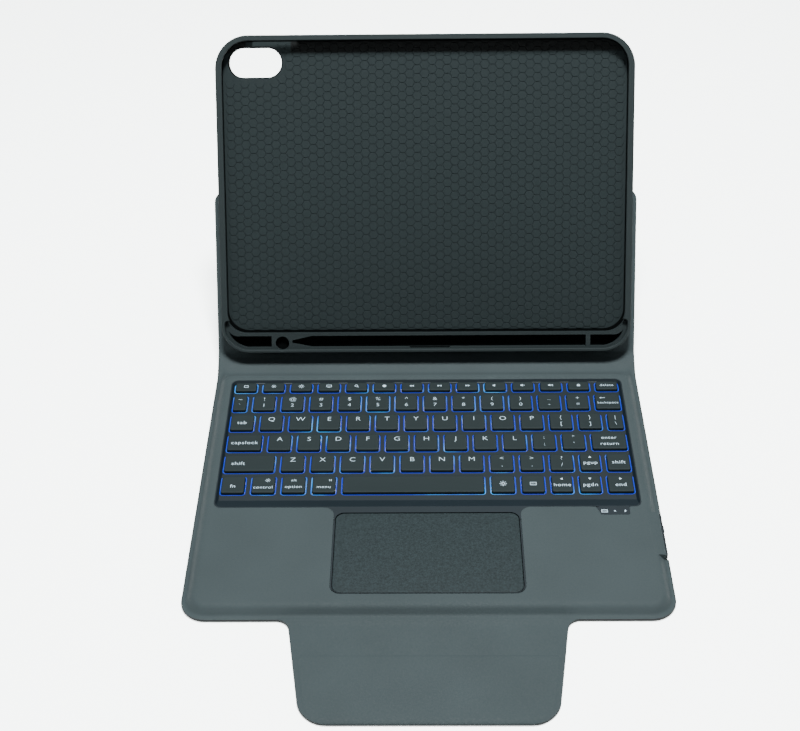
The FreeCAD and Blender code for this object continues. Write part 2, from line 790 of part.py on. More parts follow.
def upper_back():
    """The upper back cover, bonded to the tray behind its upper half."""
    front = size("easel_line") + clear
    margin = size("back_edge_round")
    width = size("tray_width") - margin * 2
    depth = size("tray_height") - margin - front
    inset = size("board_inset")
    edge = size("key_chamfer")
    corner = size("tray_top_radius") - margin
    layers = (
        ("upper_back_cover", half_sheet * -2, layer, zero),
        ("upper_back_board", layer - half_sheet * 2, board + layer, inset),
    )
    for label, low, thick, shrink in layers:
        body = new_body(label)
        sketch = rounded(body, low, centred(width - shrink * 2), front + shrink, width - shrink * 2,
                         depth - shrink * 2, edge, corner - shrink)
        pad(body, sketch, thick)
        window = camera_window(body, zero + 1, zero)
        pocket(body, window, half_sheet * 4)
        keep(body, label, tilted)


def camera_window(body, level, grow):
    wide, tall = size("camera_width") + grow * 2, size("camera_tall") + grow * 2
    radius = tall * 0.5 - 0.01
    return rounded(body, level, size("camera_middle") - wide * 0.5, size("camera_height") - tall * 0.5,
                   wide, tall, radius)


# ---------------------------------------------------------------- tablet tray

def tray():
    """The soft tray: a lipped rim, a tablet seat, and a pen trough along its foot."""
    body = new_body("tablet_tray")
    width, height, depth = size("tray_width"), size("tray_height"), size("tray_depth")
    foot, head = size("tray_foot_radius"), size("tray_top_radius")
    outer = rounded(body, zero, centred(width), zero, width, height, foot, head)
    pad(body, outer, depth)
    lip = size("lip_width")
    rim = size("rim_width")
    mouth = rounded(body, depth + 1, centred(width - lip * 2), size("ledge_top_edge"), width - lip * 2,
                    height - size("ledge_top_edge") - lip * 0.85, foot - lip, head - lip)
    pocket(body, mouth, depth + 1 - size("tray_floor"))
    seat_wide = size("tablet_width")
    seat = rounded(body, depth - size("lip_thickness"), centred(seat_wide), size("ledge_top_edge"), seat_wide,
                   size("tablet_height"), size("tablet_radius") * 0.8, size("tablet_radius"))
    pocket(body, seat, depth - size("lip_thickness") - size("tray_floor"))
    trough = rounded(body, depth + 1, centred(width - rim * 2), rim, width - rim * 2,
                     size("ledge_top_edge") * 1.5, foot - rim, zero + 2)
    pocket(body, trough, depth + 1 - size("ledge_height"))
    pocket(body, camera_window(body, depth, zero), depth * 2)
    for sketch, bottom in trough_pockets(body, depth):
        pocket(body, sketch, depth - bottom)
    doc.recompute()
    back = [e for e in body.Shape.Edges if e.BoundBox.ZMax < 0.01 and not in_camera(e)]
    soften(body, back, size("back_edge_round"))
    front_level = length("tray_depth") - 0.01
    soften(body, [e for e in body.Shape.Edges if e.BoundBox.ZMin > front_level], size("lip_round"))
    machined(body, "tablet_tray", wall_slots(), tilted)


def in_camera(edge):
    """True for an edge of the camera window, which stays sharp."""
    box = edge.BoundBox
    middle, tall = length("camera_height"), length("camera_tall")
    right = length("camera_middle") + length("camera_width") / 2
    return box.XMax < right + 1 and box.YMin > middle - tall / 2 - 1 and box.YMax < middle + tall / 2 + 1


def wall_slots():
    """Openings through the tray's walls for buttons, speakers and the pen's charger."""
    floor, top = length("tray_floor") + 0.6, length("tray_depth") - length("lip_thickness") - 0.4
    high = top - floor
    edge = length("tray_width") / 2
    top_wall = length("tray_height") - 4
    return [
        Part.makeBox(27, 8, high, V(-103.7, top_wall, floor)),
        Part.makeBox(8, 34.5, high, V(edge - 4, 129.5, floor)),
        Part.makeBox(8, 8.0, high, V(edge - 4, 100.2, floor)),
    ]


def trough_pockets(body, level):
    """The pen slot, the tip hole and two corner pockets in the foot of the tray."""
    low, high = TROUGH_LOW, TROUGH_HIGH
    middle = (low + high) / 2
    tip, shoulder, end = PEN_SLOT
    pen = drawn(body, level, polygon([
        (tip, middle - 0.8), (shoulder, low), (end, low),
        (end, high), (shoulder, high), (tip, middle + 0.8)]))
    notch = rounded(body, level, zero - 10, zero + (low - 0.9), zero + 25, zero + 2.0, zero + 0.8)
    hole = new_sketch(body, level)
    hole.addGeometry(Part.Circle(V(TIP_HOLE, middle - 0.9, 0), V(0, 0, 1), 4.2))
    deep = size("tray_floor") * 0.7
    shallow = size("tray_floor") * 1.3
    found = [(pen, deep), (notch, shallow), (hole, shallow)]
    for side, inner, outer in ((-1, 95.8, 122.6), (1, 101.8, 122.4)):
        bow = 7.2
        start = V(side * inner, high, 0)
        turn = V(side * (outer - bow), high, 0)
        turn_middle = V(side * (outer - 2.6), high + 0.9, 0)
        tip_point = V(side * (outer - 0.3), high + 3.2, 0)
        sweep_middle = V(side * (outer - 4.4), low + 3.6, 0)
        sweep_end = V(side * (outer - 11.5), low, 0)
        edges = [
            Part.LineSegment(start, turn),
            Part.Arc(turn, turn_middle, tip_point),
            Part.Arc(tip_point, sweep_middle, sweep_end),
            Part.LineSegment(sweep_end, V(side * inner, low, 0)),
            Part.LineSegment(V(side * inner, low, 0), start),
        ]
        found.append((drawn(body, level, edges), deep))
    return found


TROUGH_LOW = 3.0
TROUGH_HIGH = 10.2
PEN_SLOT = (-83.0, -71.0, 99.0)
TIP_HOLE = -89.1


def tray_liner():
    """The patterned pad that lines the tablet seat."""
    body = new_body("tray_liner")
    gap = 1.5
    width = size("tablet_width") - 2 * gap
    high = size("tablet_height") - 2 * gap
    sketch = rounded(body, size("tray_floor"), centred(width), size("ledge_top_edge") + gap, width, high,
                     size("tablet_radius") * 0.8, size("tablet_radius") - gap)
    pad(body, sketch, size("liner_thickness"))
    window = camera_window(body, size("tray_floor") * 2, zero + 0.6)
    pocket(body, window, size("tray_floor") * 2)
    keep(body, "tray_liner", tilted)


# ---------------------------------------------------------------- closure flap

def flap():
    """The root strip rises past the closed stack, and the magnetic tip lies on top."""
    root = length("flap_root_line")
    crease = root + length("flap_root_length")
    gap = float(clear)
    tip_end = length("flap_length")
    half_root = length("flap_root_width") / 2
    half_tip = length("flap_tip_width") / 2
    radius = length("flap_radius")

    def half_width(y):
        """The flap narrows evenly from its root to its rounded end."""
        return half_root + (half_tip - half_root) * y / tip_end

    def trapezium(label, near, far, low, thick, inset=0.0, round_end=False):
        body = new_body(label)
        a, b = half_width(near) - inset, half_width(far) - inset
        if not round_end:
            edges = polygon([(-a, -near), (-b, -far), (b, -far), (a, -near)])
        else:
            corner = radius - inset
            tip = -far + corner
            bend = corner * math.sqrt(0.5)
            edges = [
                Part.LineSegment(V(-a, -near, 0), V(-b, tip, 0)),
                Part.Arc(V(-b, tip, 0), V(-b + corner - bend, tip - bend, 0), V(-b + corner, -far, 0)),
                Part.LineSegment(V(-b + corner, -far, 0), V(b - corner, -far, 0)),
                Part.Arc(V(b - corner, -far, 0), V(b - corner + bend, tip - bend, 0), V(b, tip, 0)),
                Part.LineSegment(V(b, tip, 0), V(a, -near, 0)),
                Part.LineSegment(V(a, -near, 0), V(-a, -near, 0)),
            ]
        sketch = drawn(body, low, edges)
        pad(body, sketch, thick)
        return keep(body, label, standing)

    trapezium("flap_root_cover", root + gap, crease - gap, zero, half_sheet)
    trapezium("flap_root_lining", root + gap, crease - gap, half_sheet, half_sheet)
    trapezium("flap_tip_cover", crease + gap, tip_end, zero, layer, round_end=True)
    trapezium("flap_tip_lining", crease + gap, tip_end, layer + board, layer, round_end=True)
    blank = trapezium("flap_board", crease + gap + 1.5, tip_end - 1.5, layer, board, 1.5, True)
    parts.remove(blank)
    middle = (crease + tip_end) / 2
    magnets = [Part.makeBox(18, 10, float(board), V(x - 9, -middle - 5, float(layer))) for x in (-40, 0, 40)]
    machined(blank, "flap_board", magnets, standing)
    shaped("flap_magnets", magnets)


# ---------------------------------------------------------------- build and write

base_outer_cover()
base_top_cover()
lower_housing()
upper_housing()
keys()
key_layers()
touchpad()
electronics()
shaped("housing_screws", screws())
rear_magnets()
spine()
lower_back()
upper_back()
tray()
tray_liner()
flap()
doc.recompute()

for item in doc.Objects:
    trouble = [state for state in item.State if state in ("Invalid", "Error")]
    if trouble:
        raise RuntimeError("%s did not build: %s" % (item.Label, trouble))
for part in parts:
    if part.Shape.isNull() or not part.Shape.isValid() or not part.Shape.Solids:
        raise RuntimeError("%s has no valid solid" % part.Label)

os.makedirs("parts", exist_ok=True)
for part in parts:
    part.Shape.exportStep("parts/%s.step" % part.Label)
    box = part.Shape.BoundBox
    print("%-22s %3d solid(s)  volume %9.1f  z %6.2f to %6.2f" % (
        part.Label, len(part.Shape.Solids), part.Shape.Volume, box.ZMin, box.ZMax))
print("%d nodes" % len(parts))
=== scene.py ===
import json
import math

import bmesh
import bpy
from mathutils import Matrix, Vector
from mathutils.noise import noise


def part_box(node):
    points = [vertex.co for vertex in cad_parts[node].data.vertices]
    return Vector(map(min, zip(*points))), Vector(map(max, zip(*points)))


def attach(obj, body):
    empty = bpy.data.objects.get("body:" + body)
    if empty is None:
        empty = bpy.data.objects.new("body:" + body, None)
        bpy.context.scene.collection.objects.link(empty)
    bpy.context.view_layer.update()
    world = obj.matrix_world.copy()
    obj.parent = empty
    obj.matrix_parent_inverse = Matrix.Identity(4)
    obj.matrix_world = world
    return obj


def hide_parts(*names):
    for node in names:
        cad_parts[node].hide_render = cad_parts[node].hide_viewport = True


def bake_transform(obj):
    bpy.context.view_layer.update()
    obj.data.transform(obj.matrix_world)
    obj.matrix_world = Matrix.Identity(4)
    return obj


# The looks of the tablet keyboard case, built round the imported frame. Lengths inside this
# file are millimetres unless a name says otherwise, and MM turns them into scene metres.
# "Y" on the base is measured from its front edge; panels have their own upright frames.

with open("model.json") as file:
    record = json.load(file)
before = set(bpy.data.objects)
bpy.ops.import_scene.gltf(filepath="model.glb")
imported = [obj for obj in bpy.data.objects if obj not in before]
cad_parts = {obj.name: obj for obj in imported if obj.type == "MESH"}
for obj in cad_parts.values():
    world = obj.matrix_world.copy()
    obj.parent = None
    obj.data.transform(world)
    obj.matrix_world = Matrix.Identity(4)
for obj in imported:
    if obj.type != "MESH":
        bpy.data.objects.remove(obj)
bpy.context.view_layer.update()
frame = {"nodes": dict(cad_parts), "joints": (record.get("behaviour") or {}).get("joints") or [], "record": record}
nodes = frame["nodes"]
MM = 0.001

# ------------------------------------------------------------------ places read from the frame

joints = {joint["name"]: joint for joint in frame["joints"]}


def fold_line(name):
    """The point of a fold at X = 0, in millimetres."""
    return Vector(joints[name]["pos_m"]) / MM


def node_box(name):
    """Lowest and highest corner of a CAD node, in millimetres."""
    low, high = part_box(name)
    return low / MM, high / MM


def upright(origin, up):
    """A frame with X across, Y along up and Z out of the front, from an origin in millimetres."""
    out = Vector((0, -up.z, up.y))
    columns = Matrix((Vector((1, 0, 0)), up, out)).transposed()
    return Matrix.Translation(origin) @ columns.to_4x4()


def node_reach(name, direction):
    """How far a CAD node reaches along a direction: its lowest and highest value."""
    values = [vertex.co.dot(direction) / MM for vertex in nodes[name].data.vertices]
    return min(values), max(values)


base_low, base_high = node_box("base_top_cover")
BASE_HALF = base_high.x
BASE_TOP = base_high.z
FRONT = base_low.y
base_place = Matrix.Translation((0, FRONT, 0))

spine_point = fold_line("spine_fold")
back_point = fold_line("back_cover_fold")
easel_point = fold_line("easel_fold")
spine_up = (back_point - spine_point).normalized()
panel_up = (easel_point - back_point).normalized()
panel_out = Vector((0, -panel_up.z, panel_up.y))
SHEET = 2.0
tray_foot = node_reach("tablet_tray", panel_up)[0]
tray_back = node_reach("tablet_tray", panel_out)[0]
tray_place = upright(panel_up * tray_foot + panel_out * tray_back, panel_up)

# ------------------------------------------------------------------ mesh helpers


def finish_piece(name, bm, material, place, sharp=35.0):
    """Turns a mesh drawn in millimetres into a piece, smooth except at its sharp edges."""
    bmesh.ops.remove_doubles(bm, verts=bm.verts, dist=1e-5)
    bmesh.ops.recalc_face_normals(bm, faces=bm.faces)
    mesh = bpy.data.meshes.new(name)
    bm.to_mesh(mesh)
    bm.free()
    mesh.transform(Matrix.Scale(MM, 4) @ place)
    mesh.shade_smooth()
    mesh.set_sharp_from_angle(angle=math.radians(sharp))
    mesh.materials.append(material)
    piece = bpy.data.objects.new(name, mesh)
    bpy.context.scene.collection.objects.link(piece)
    return piece


def add_ring(bm, points):
    return [bm.verts.new(point) for point in points]


def bridge(bm, first, second):
    """Quads between two rings with the same number of points."""
    count = len(first)
    for index in range(count):
        after = (index + 1) % count
        bm.faces.new((first[index], first[after], second[after], second[index]))


def flat_fill(bm, rings):
    """Fills a flat area that has an outer ring and any number of holes."""
    edges = []
    for ring in rings:
        for index in range(len(ring)):
            pair = (ring[index], ring[(index + 1) % len(ring)])
            edges.append(bm.edges.get(pair) or bm.edges.new(pair))
    bmesh.ops.triangle_fill(bm, use_beauty=True, use_dissolve=False, edges=edges)


def prism(bm, points, low, high):
    """A closed prism over a convex outline."""
    bottom = add_ring(bm, [(x, y, low) for x, y in points])
    top = add_ring(bm, [(x, y, high) for x, y in points])
    bridge(bm, bottom, top)
    bm.faces.new(top)
    bm.faces.new(reversed(bottom))


def outline(corners, grow=0.0, steps=6):
    """The points of a rounded polygon, given anticlockwise as (x, y, radius), grown outward."""
    count = len(corners)
    normals = []
    for index in range(count):
        x, y, _ = corners[index]
        next_x, next_y, _ = corners[(index + 1) % count]
        run = math.hypot(next_x - x, next_y - y)
        normals.append(Vector(((next_y - y) / run, (x - next_x) / run)))
    shifted = []
    for index, (x, y, _) in enumerate(corners):
        before, after = normals[index - 1], normals[index]
        shifted.append(Vector((x, y)) + (before + after) * (grow / (1 + before.dot(after))))
    points = []
    for index, (_, _, radius) in enumerate(corners):
        point = shifted[index]
        into = (shifted[index - 1] - point).normalized()
        away = (shifted[(index + 1) % count] - point).normalized()
        if radius == 0:
            points.append((point.x, point.y))
            continue
        turns_left = normals[index - 1].cross(normals[index]) > 0
        bend = max(radius + (grow if turns_left else -grow), 0.05)
        half = into.angle(away) / 2
        centre = point + (into + away).normalized() * (bend / math.sin(half))
        start = point + into * (bend / math.tan(half)) - centre
        sweep = math.pi - 2 * half
        for step in range(steps + 1):
            turn = (sweep if turns_left else -sweep) * step / steps
            spoke = Vector((start.x * math.cos(turn) - start.y * math.sin(turn),
                            start.x * math.sin(turn) + start.y * math.cos(turn)))
            points.append((centre.x + spoke.x, centre.y + spoke.y))
    return points


def box_corners(left, right, near, far, near_radius, far_radius):
    return [(left, near, near_radius), (right, near, near_radius),
            (right, far, far_radius), (left, far, far_radius)]


def plate(name, corners, levels, material, place, hole=None, hole_levels=(), steps=6):
    """A plate built up through (inset, height) levels, with or without one hole."""
    bm = bmesh.new()
    rings = []
    for inset, height in levels:
        rings.append(add_ring(bm, [(x, y, height) for x, y in outline(corners, -inset, steps)]))
    for lower, upper in zip(rings, rings[1:]):
        bridge(bm, lower, upper)
    hole_rings = []
    for grow, height in hole_levels:
        hole_rings.append(add_ring(bm, [(x, y, height) for x, y in outline(hole, grow, steps)]))
    for upper, lower in zip(hole_rings, hole_rings[1:]):
        bridge(bm, upper, lower)
    flat_fill(bm, [rings[-1]] + hole_rings[:1])
    flat_fill(bm, [rings[0]] + hole_rings[-1:])
    return finish_piece(name, bm, material, place)


def ease(value, start, end):
    """0 before start, 1 after end and smooth between them."""
    share = min(max((value - start) / (end - start), 0.0), 1.0)
    return share * share * (3 - 2 * share)


# ------------------------------------------------------------------ materials


class Shader:
    """A node material with a Principled shader and a few helpers to feed it."""

    def __init__(self, name, colour, roughness, **constants):
        self.material = bpy.data.materials.new(name)
        self.material.use_nodes = True
        self.tree = self.material.node_tree
        self.surface = self.tree.nodes["Principled BSDF"]
        self.surface.inputs["Base Color"].default_value = (*colour, 1)
        self.surface.inputs["Roughness"].default_value = roughness
        for socket, value in constants.items():
            self.surface.inputs[socket.replace("_", " ")].default_value = value
        self.where = self.node("ShaderNodeTexCoord").outputs["Object"]

    def node(self, kind, **settings):
        made = self.tree.nodes.new(kind)
        for key, value in settings.items():
            setattr(made, key, value)
        return made

    def feed(self, made, inputs):
        for socket, value in inputs.items():
            if isinstance(value, bpy.types.NodeSocket):
                self.tree.links.new(value, made.inputs[socket])
            else:
                made.inputs[socket].default_value = value
        return made

    def grain(self, size_mm, detail=2.0, roughness=0.5):
        """Noise whose features are about size_mm across, from 0 to 1."""
        made = self.feed(self.node("ShaderNodeTexNoise"), {
            "Vector": self.where, "Scale": 1000 / size_mm, "Detail": detail, "Roughness": roughness})
        return made.outputs["Fac"]

    def pebble(self, size_mm):
        """Small rounded cells, as in pressed leather, from 0 at their middles."""
        made = self.feed(self.node("ShaderNodeTexVoronoi"), {"Vector": self.where, "Scale": 1000 / size_mm})
        return made.outputs["Distance"]

    def sharpen(self, value, low, high, dark=0.0, light=1.0):
        """Stretches a value from low..high to dark..light and clamps it."""
        made = self.feed(self.node("ShaderNodeMapRange"), {
            "Value": value, "From Min": low, "From Max": high, "To Min": dark, "To Max": light})
        return made.outputs["Result"]

    def add(self, first, second, scale=1.0):
        scaled = self.feed(self.node("ShaderNodeMath", operation="MULTIPLY"), {0: second, 1: scale})
        made = self.feed(self.node("ShaderNodeMath", operation="ADD"), {0: first, 1: scaled.outputs[0]})
        return made.outputs[0]

    def mix(self, share, first, second):
        made = self.node("ShaderNodeMix", data_type="RGBA")
        self.tree.links.new(share, made.inputs["Factor"])
        made.inputs[6].default_value = (*first, 1)
        made.inputs[7].default_value = (*second, 1)
        return made.outputs[2]

    def colour(self, share, first, second, socket="Base Color"):
        self.tree.links.new(self.mix(share, first, second), self.surface.inputs[socket])

    def math(self, operation, *values):
        worked = self.feed(self.node("ShaderNodeMath", operation=operation), dict(enumerate(values)))
        return worked.outputs[0]

    def along(self, vector, direction):
        dot = self.node("ShaderNodeVectorMath", operation="DOT_PRODUCT")
        return self.feed(dot, {0: vector, 1: direction}).outputs["Value"]

    def rough(self, share, low, high):
        self.tree.links.new(self.sharpen(share, 0.3, 0.7, low, high), self.surface.inputs["Roughness"])

    def bump(self, height, depth_mm, strength=1.0):
        made = self.feed(self.node("ShaderNodeBump"), {
            "Height": height, "Distance": depth_mm * MM, "Strength": strength})
        self.tree.links.new(made.outputs["Normal"], self.surface.inputs["Normal"])


def in_shade(shader, colour, low, high):
    """Paints shade into a material's colour and shine where it lies deep in the tray or faces down it."""
    depth = shader.along(shader.where, panel_out)
    facing = shader.along(shader.where.node.outputs["Normal"], panel_up)
    deep = shader.sharpen(depth, high * MM, low * MM)
    not_upward = shader.sharpen(facing, 0.5, 0.25)
    walls = shader.math("MULTIPLY", deep, not_upward)
    downward = shader.sharpen(facing, -0.25, -0.7)
    painted_shade_share = shader.math("MAXIMUM", walls, downward)
    # painted shade: the colour falls to a tenth and the shine drops on the deep walls and down-facing faces
    shader.colour(painted_shade_share, colour, shade(colour, 0.1))
    gloss = shader.sharpen(painted_shade_share, 0, 1, 0.13, 0.02)
    shader.tree.links.new(gloss, shader.surface.inputs["Specular IOR Level"])


def shade(colour, factor):
    return tuple(channel * factor for channel in colour)


def grained(name, colour, roughness, grain_mm, depth_mm, spread=0.06, pebble_mm=None, **constants):
    """A moulded or coated surface: a fine grain, slow colour drift and uneven gloss."""
    shader = Shader(name, colour, roughness, **constants)
    fine = shader.grain(grain_mm, 3.0, 0.6)
    slow = shader.grain(38.0, 2.0)
    mottle = shader.add(slow, fine, 0.55)
    shader.colour(shader.sharpen(mottle, 0.5, 1.05), shade(colour, 1 - spread), shade(colour, 1 + spread))
    shader.rough(fine, roughness - 0.06, roughness + 0.06)
    height = fine if pebble_mm is None else shader.add(fine, shader.pebble(pebble_mm), 0.8)
    shader.bump(height, depth_mm)
    return shader.material


def cover_fabric():
    """The soft skin: fine grain, slow colour drift, and painted shadow on its sideways faces near the table."""
    shader = Shader("cover_fabric", SKIN, 0.8, Specular_IOR_Level=0.2)
    fine = shader.grain(1.1, 3.0, 0.6)
    mottle = shader.add(shader.grain(38.0, 2.0), fine, 0.55)
    skin = shader.mix(shader.sharpen(mottle, 0.5, 1.05), shade(SKIN, 0.91), shade(SKIN, 1.09))
    height = shader.feed(shader.node("ShaderNodeSeparateXYZ"), {0: shader.where}).outputs[2]
    normal = shader.where.node.outputs["Normal"]
    tilt = shader.feed(shader.node("ShaderNodeSeparateXYZ"), {0: normal}).outputs[2]
    # painted shadow: faces that look sideways within 2 mm of the table turn to about an eighth of the skin's
    # colour
    sideways = shader.sharpen(shader.math("ABSOLUTE", tilt), 0.75, 0.45)
    low = shader.sharpen(height, 2.0 * MM, 1.6 * MM)
    edge = shader.math("MULTIPLY", sideways, low)
    cut = shader.node("ShaderNodeMix", data_type="RGBA")
    shader.tree.links.new(edge, cut.inputs["Factor"])
    shader.tree.links.new(skin, cut.inputs[6])
    cut.inputs[7].default_value = (*shade(SKIN, 0.12), 1)
    shader.tree.links.new(cut.outputs[2], shader.surface.inputs["Base Color"])
    shader.rough(fine, 0.74, 0.86)
    shader.bump(shader.add(fine, shader.pebble(0.9), 0.8), 0.05)
    return shader.material


def pad_rubber():
    """The pad's rubber, with a painted shadow under the tray's top wall, left out below the wall's slot where
    light comes through.
    """
    shader = Shader("pad_rubber", TRAY, 0.75, Specular_IOR_Level=0.1)
    reach = shader.along(shader.where, panel_up)
    top = node_reach("tray_liner", panel_up)[1]
    # painted shadow of the top wall: the pad falls to an eighth of its colour within WALL_SHADE mm of the wall
    painted_wall_shadow = shader.sharpen(reach, (top - WALL_SHADE - 1.2) * MM, (top - WALL_SHADE) * MM)
    across = shader.feed(shader.node("ShaderNodeSeparateXYZ"), {0: shader.where}).outputs[0]
    off_slot = shader.math("ABSOLUTE", shader.math("ADD", across, -TOP_SLOT["middle"] * MM))
    blur = 0.4
    past_slot = shader.sharpen(off_slot, (TOP_SLOT["half"] - blur) * MM, (TOP_SLOT["half"] + blur) * MM)
    shader.colour(shader.math("MULTIPLY", painted_wall_shadow, past_slot), TRAY, shade(TRAY, 0.12))
    fine = shader.grain(0.35, 3.0, 0.6)
    shader.rough(fine, 0.7, 0.8)
    shader.bump(fine, 0.02)
    return shader.material


def tray_rubber():
    """Moulded rubber, with painted shade in the tray's deep corners and on its faces that face down the tray."""
    shader = Shader("tray_rubber", TRAY, 0.72)
    in_shade(shader, TRAY, tray_back + 5.0, tray_back + 6.3)
    fine = shader.grain(0.35, 3.0, 0.6)
    shader.rough(fine, 0.66, 0.78)
    shader.bump(fine, 0.02)
    return shader.material


def speckled(name, colour, roughness):
    """The touch film: fine lighter and darker specks."""
    shader = Shader(name, colour, roughness, Specular_IOR_Level=0.1)
    specks = shader.add(shader.grain(1.1, 2.0, 0.7), shader.grain(0.6, 1.0), 0.5)
    shader.colour(shader.sharpen(specks, 0.55, 0.95), shade(colour, 0.6), shade(colour, 1.4))
    shader.bump(specks, 0.03)
    return shader.material


def glowing(name, deep, bright, strength):
    """Edge-lit plastic that glows unevenly, with brighter spots near its lamps."""
    shader = Shader(name, shade(deep, 0.3), 0.35)
    drift = shader.add(shader.grain(26.0, 1.0), shader.grain(7.0, 1.0), 0.35)
    spots = shader.sharpen(drift, 0.70, 1.0)
    shader.colour(spots, deep, bright, "Emission Color")
    shader.surface.inputs["Emission Strength"].default_value = strength
    return shader.material


def lit_ink():
    """The ink of the marks, faintly lit from behind."""
    ink = grained("legend_ink", (0.20, 0.26, 0.30), 0.5, 0.4, 0.01, 0.04)
    surface = ink.node_tree.nodes["Principled BSDF"]
    surface.inputs["Emission Color"].default_value = (0.6, 0.78, 0.95, 1)
    surface.inputs["Emission Strength"].default_value = 0.25
    return ink


def brushed(name, colour, roughness):
    """Sheet metal with fine lengthwise brushing."""
    shader = Shader(name, colour, roughness, Metallic=1.0)
    stretched = shader.feed(shader.node("ShaderNodeMapping"), {
        "Vector": shader.where, "Scale": (60, 2500, 2500)})
    lines = shader.feed(shader.node("ShaderNodeTexNoise"), {
        "Vector": stretched.outputs[0], "Scale": 1.0, "Detail": 3.0})
    shader.colour(lines.outputs["Fac"], shade(colour, 0.8), shade(colour, 1.1))
    shader.rough(lines.outputs["Fac"], roughness - 0.08, roughness + 0.1)
    shader.bump(lines.outputs["Fac"], 0.01)
    return shader.material


# how far the pad's painted shadow reaches below the tray's top wall, and the slot in that wall under which it is
# left out, in millimetres
WALL_SHADE = 6.0
TOP_SLOT = {"middle": -94.5, "half": 13.6}
SKIN = (0.0112, 0.0164, 0.0180)
TRAY = (0.0044, 0.0070, 0.0076)
DECK = (0.0018, 0.0040, 0.0058)
KEY = (0.0040, 0.0068, 0.0074)
TOUCH = (0.0054, 0.0088, 0.0098)

materials = {
    "cover_fabric": cover_fabric(),
    "lining": grained("lining", shade(SKIN, 0.95), 0.85, 0.4, 0.04, 0.06, 0.6, Specular_IOR_Level=0.2),
    "board": grained("board", (0.12, 0.11, 0.10), 0.9, 1.2, 0.05, 0.15),
    "tray_rubber": tray_rubber(),
    "housing_plastic": grained("housing_plastic", DECK, 0.55, 0.4, 0.02, 0.08, Specular_IOR_Level=0.15),
    "key_plastic": grained("key_plastic", KEY, 0.68, 0.3, 0.015, 0.07, Specular_IOR_Level=0.1),
    "touch_surface": speckled("touch_surface", TOUCH, 0.7),
    "light_guide": glowing("light_guide", (0.001, 0.022, 0.42), (0.06, 0.60, 1.0), 1.1),
    "silicone": grained("silicone", (0.72, 0.72, 0.69), 0.5, 0.8, 0.02, 0.04, Subsurface_Weight=0.2),
    "steel": brushed("steel", (0.55, 0.56, 0.57), 0.38),
    "circuit_board": grained("circuit_board", (0.015, 0.085, 0.045), 0.4, 2.4, 0.03, 0.25),
    "battery_wrap": grained("battery_wrap", (0.03, 0.03, 0.036), 0.35, 3.0, 0.05, 0.12),
    "magnet": brushed("magnet", (0.62, 0.62, 0.63), 0.22),
    "lens": grained("lens", (0.75, 0.85, 0.88), 0.25, 1.0, 0.005, 0.03),
    "socket_metal": brushed("socket_metal", (0.35, 0.36, 0.37), 0.35),
}
materials["pad_rubber"] = pad_rubber()
# glossy plastic, much lighter than the deck, for the painted highlight along the recess's rear edge
materials["painted_highlight_edge"] = grained("painted_highlight_edge", (0.06, 0.07, 0.075), 0.3, 0.5, 0.005, 0.05)
legend_ink = lit_ink()

for row in frame["record"]["subparts"]:
    node_materials = nodes[row["node"]].data.materials
    node_materials.clear()
    node_materials.append(materials[row["material_slot"]])


def add_piece(piece, body=None, replaces=()):
    """Attaches a finished piece to its body, if one is given, and hides the CAD nodes that it stands for."""
    if body:
        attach(piece, body)
    if replaces:
        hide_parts(*replaces)
    return piece


# ------------------------------------------------------------------ the base's skin

FLANGE_TOP = 2.1
BASE_CORNER = 14.0
CUT = 188.2
RECESS = {"half": 119.4, "near": 77.2, "far": 186.7, "radius": 4.0}
TOUCH_FIELD = {"half": 51.7, "near": 14.0, "radius": 5.6}
BRIDGE_FLARE = 6.0
LIGHT_TAB = {"left": 96.4, "right": 112.2, "depth": 6.4, "slant": 2.6, "radius": 1.2}
NOTCH = {"near": 41.0, "far": 73.0, "edge": 0.15}

# (inset, height) steps from the underside, round the flange and the bevel, to the plateau
BASE_LEVELS = [
    (6.0, 0.0), (0.6, 0.0), (0.15, 0.12), (0.0, 0.5), (0.0, 1.5), (0.14, 1.92), (0.5, FLANGE_TOP),
    (1.8, 2.14), (2.6, 2.45), (3.3, 3.1), (4.6, 4.75), (5.5, 5.6), (6.4, 6.15), (7.5, 6.44),
    (8.8, BASE_TOP)]

# the same steps where the side notch opens the flange and leaves a brow over the port
NOTCH_LEVELS = [
    (6.0, 0.0), (2.6, 0.0), (2.15, 0.12), (2.0, 0.4), (2.0, 1.05), (6.3, 1.1), (6.3, 5.15),
    (2.15, 5.15), (2.0, 5.3), (2.0, 5.6), (2.25, 5.9), (3.2, 6.1), (5.6, 6.34), (7.5, 6.46),
    (8.8, BASE_TOP)]


def base_outline(level):
    """One ring of the base's skin. Its rear edge stays at the cut, where the fold's skin starts."""
    inset, height = BASE_LEVELS[level]
    notch_inset, notch_height = NOTCH_LEVELS[level]
    marks = []
    for middle in (NOTCH["near"], NOTCH["far"]):
        marks += [(BASE_HALF, middle - NOTCH["edge"], 0), (BASE_HALF, middle + NOTCH["edge"], 0)]
    corners = [(-BASE_HALF, 0, BASE_CORNER), (BASE_HALF, 0, BASE_CORNER)] + marks
    corners += [(BASE_HALF, CUT + inset, 0), (-BASE_HALF, CUT + inset, 0)]
    ring = []
    for x, y in outline(corners, -inset, 10):
        in_notch = x > 0 and NOTCH["near"] < y < NOTCH["far"]
        if in_notch:
            ring.append((BASE_HALF - notch_inset, y, notch_height))
        else:
            ring.append((x, y, height))
    return ring


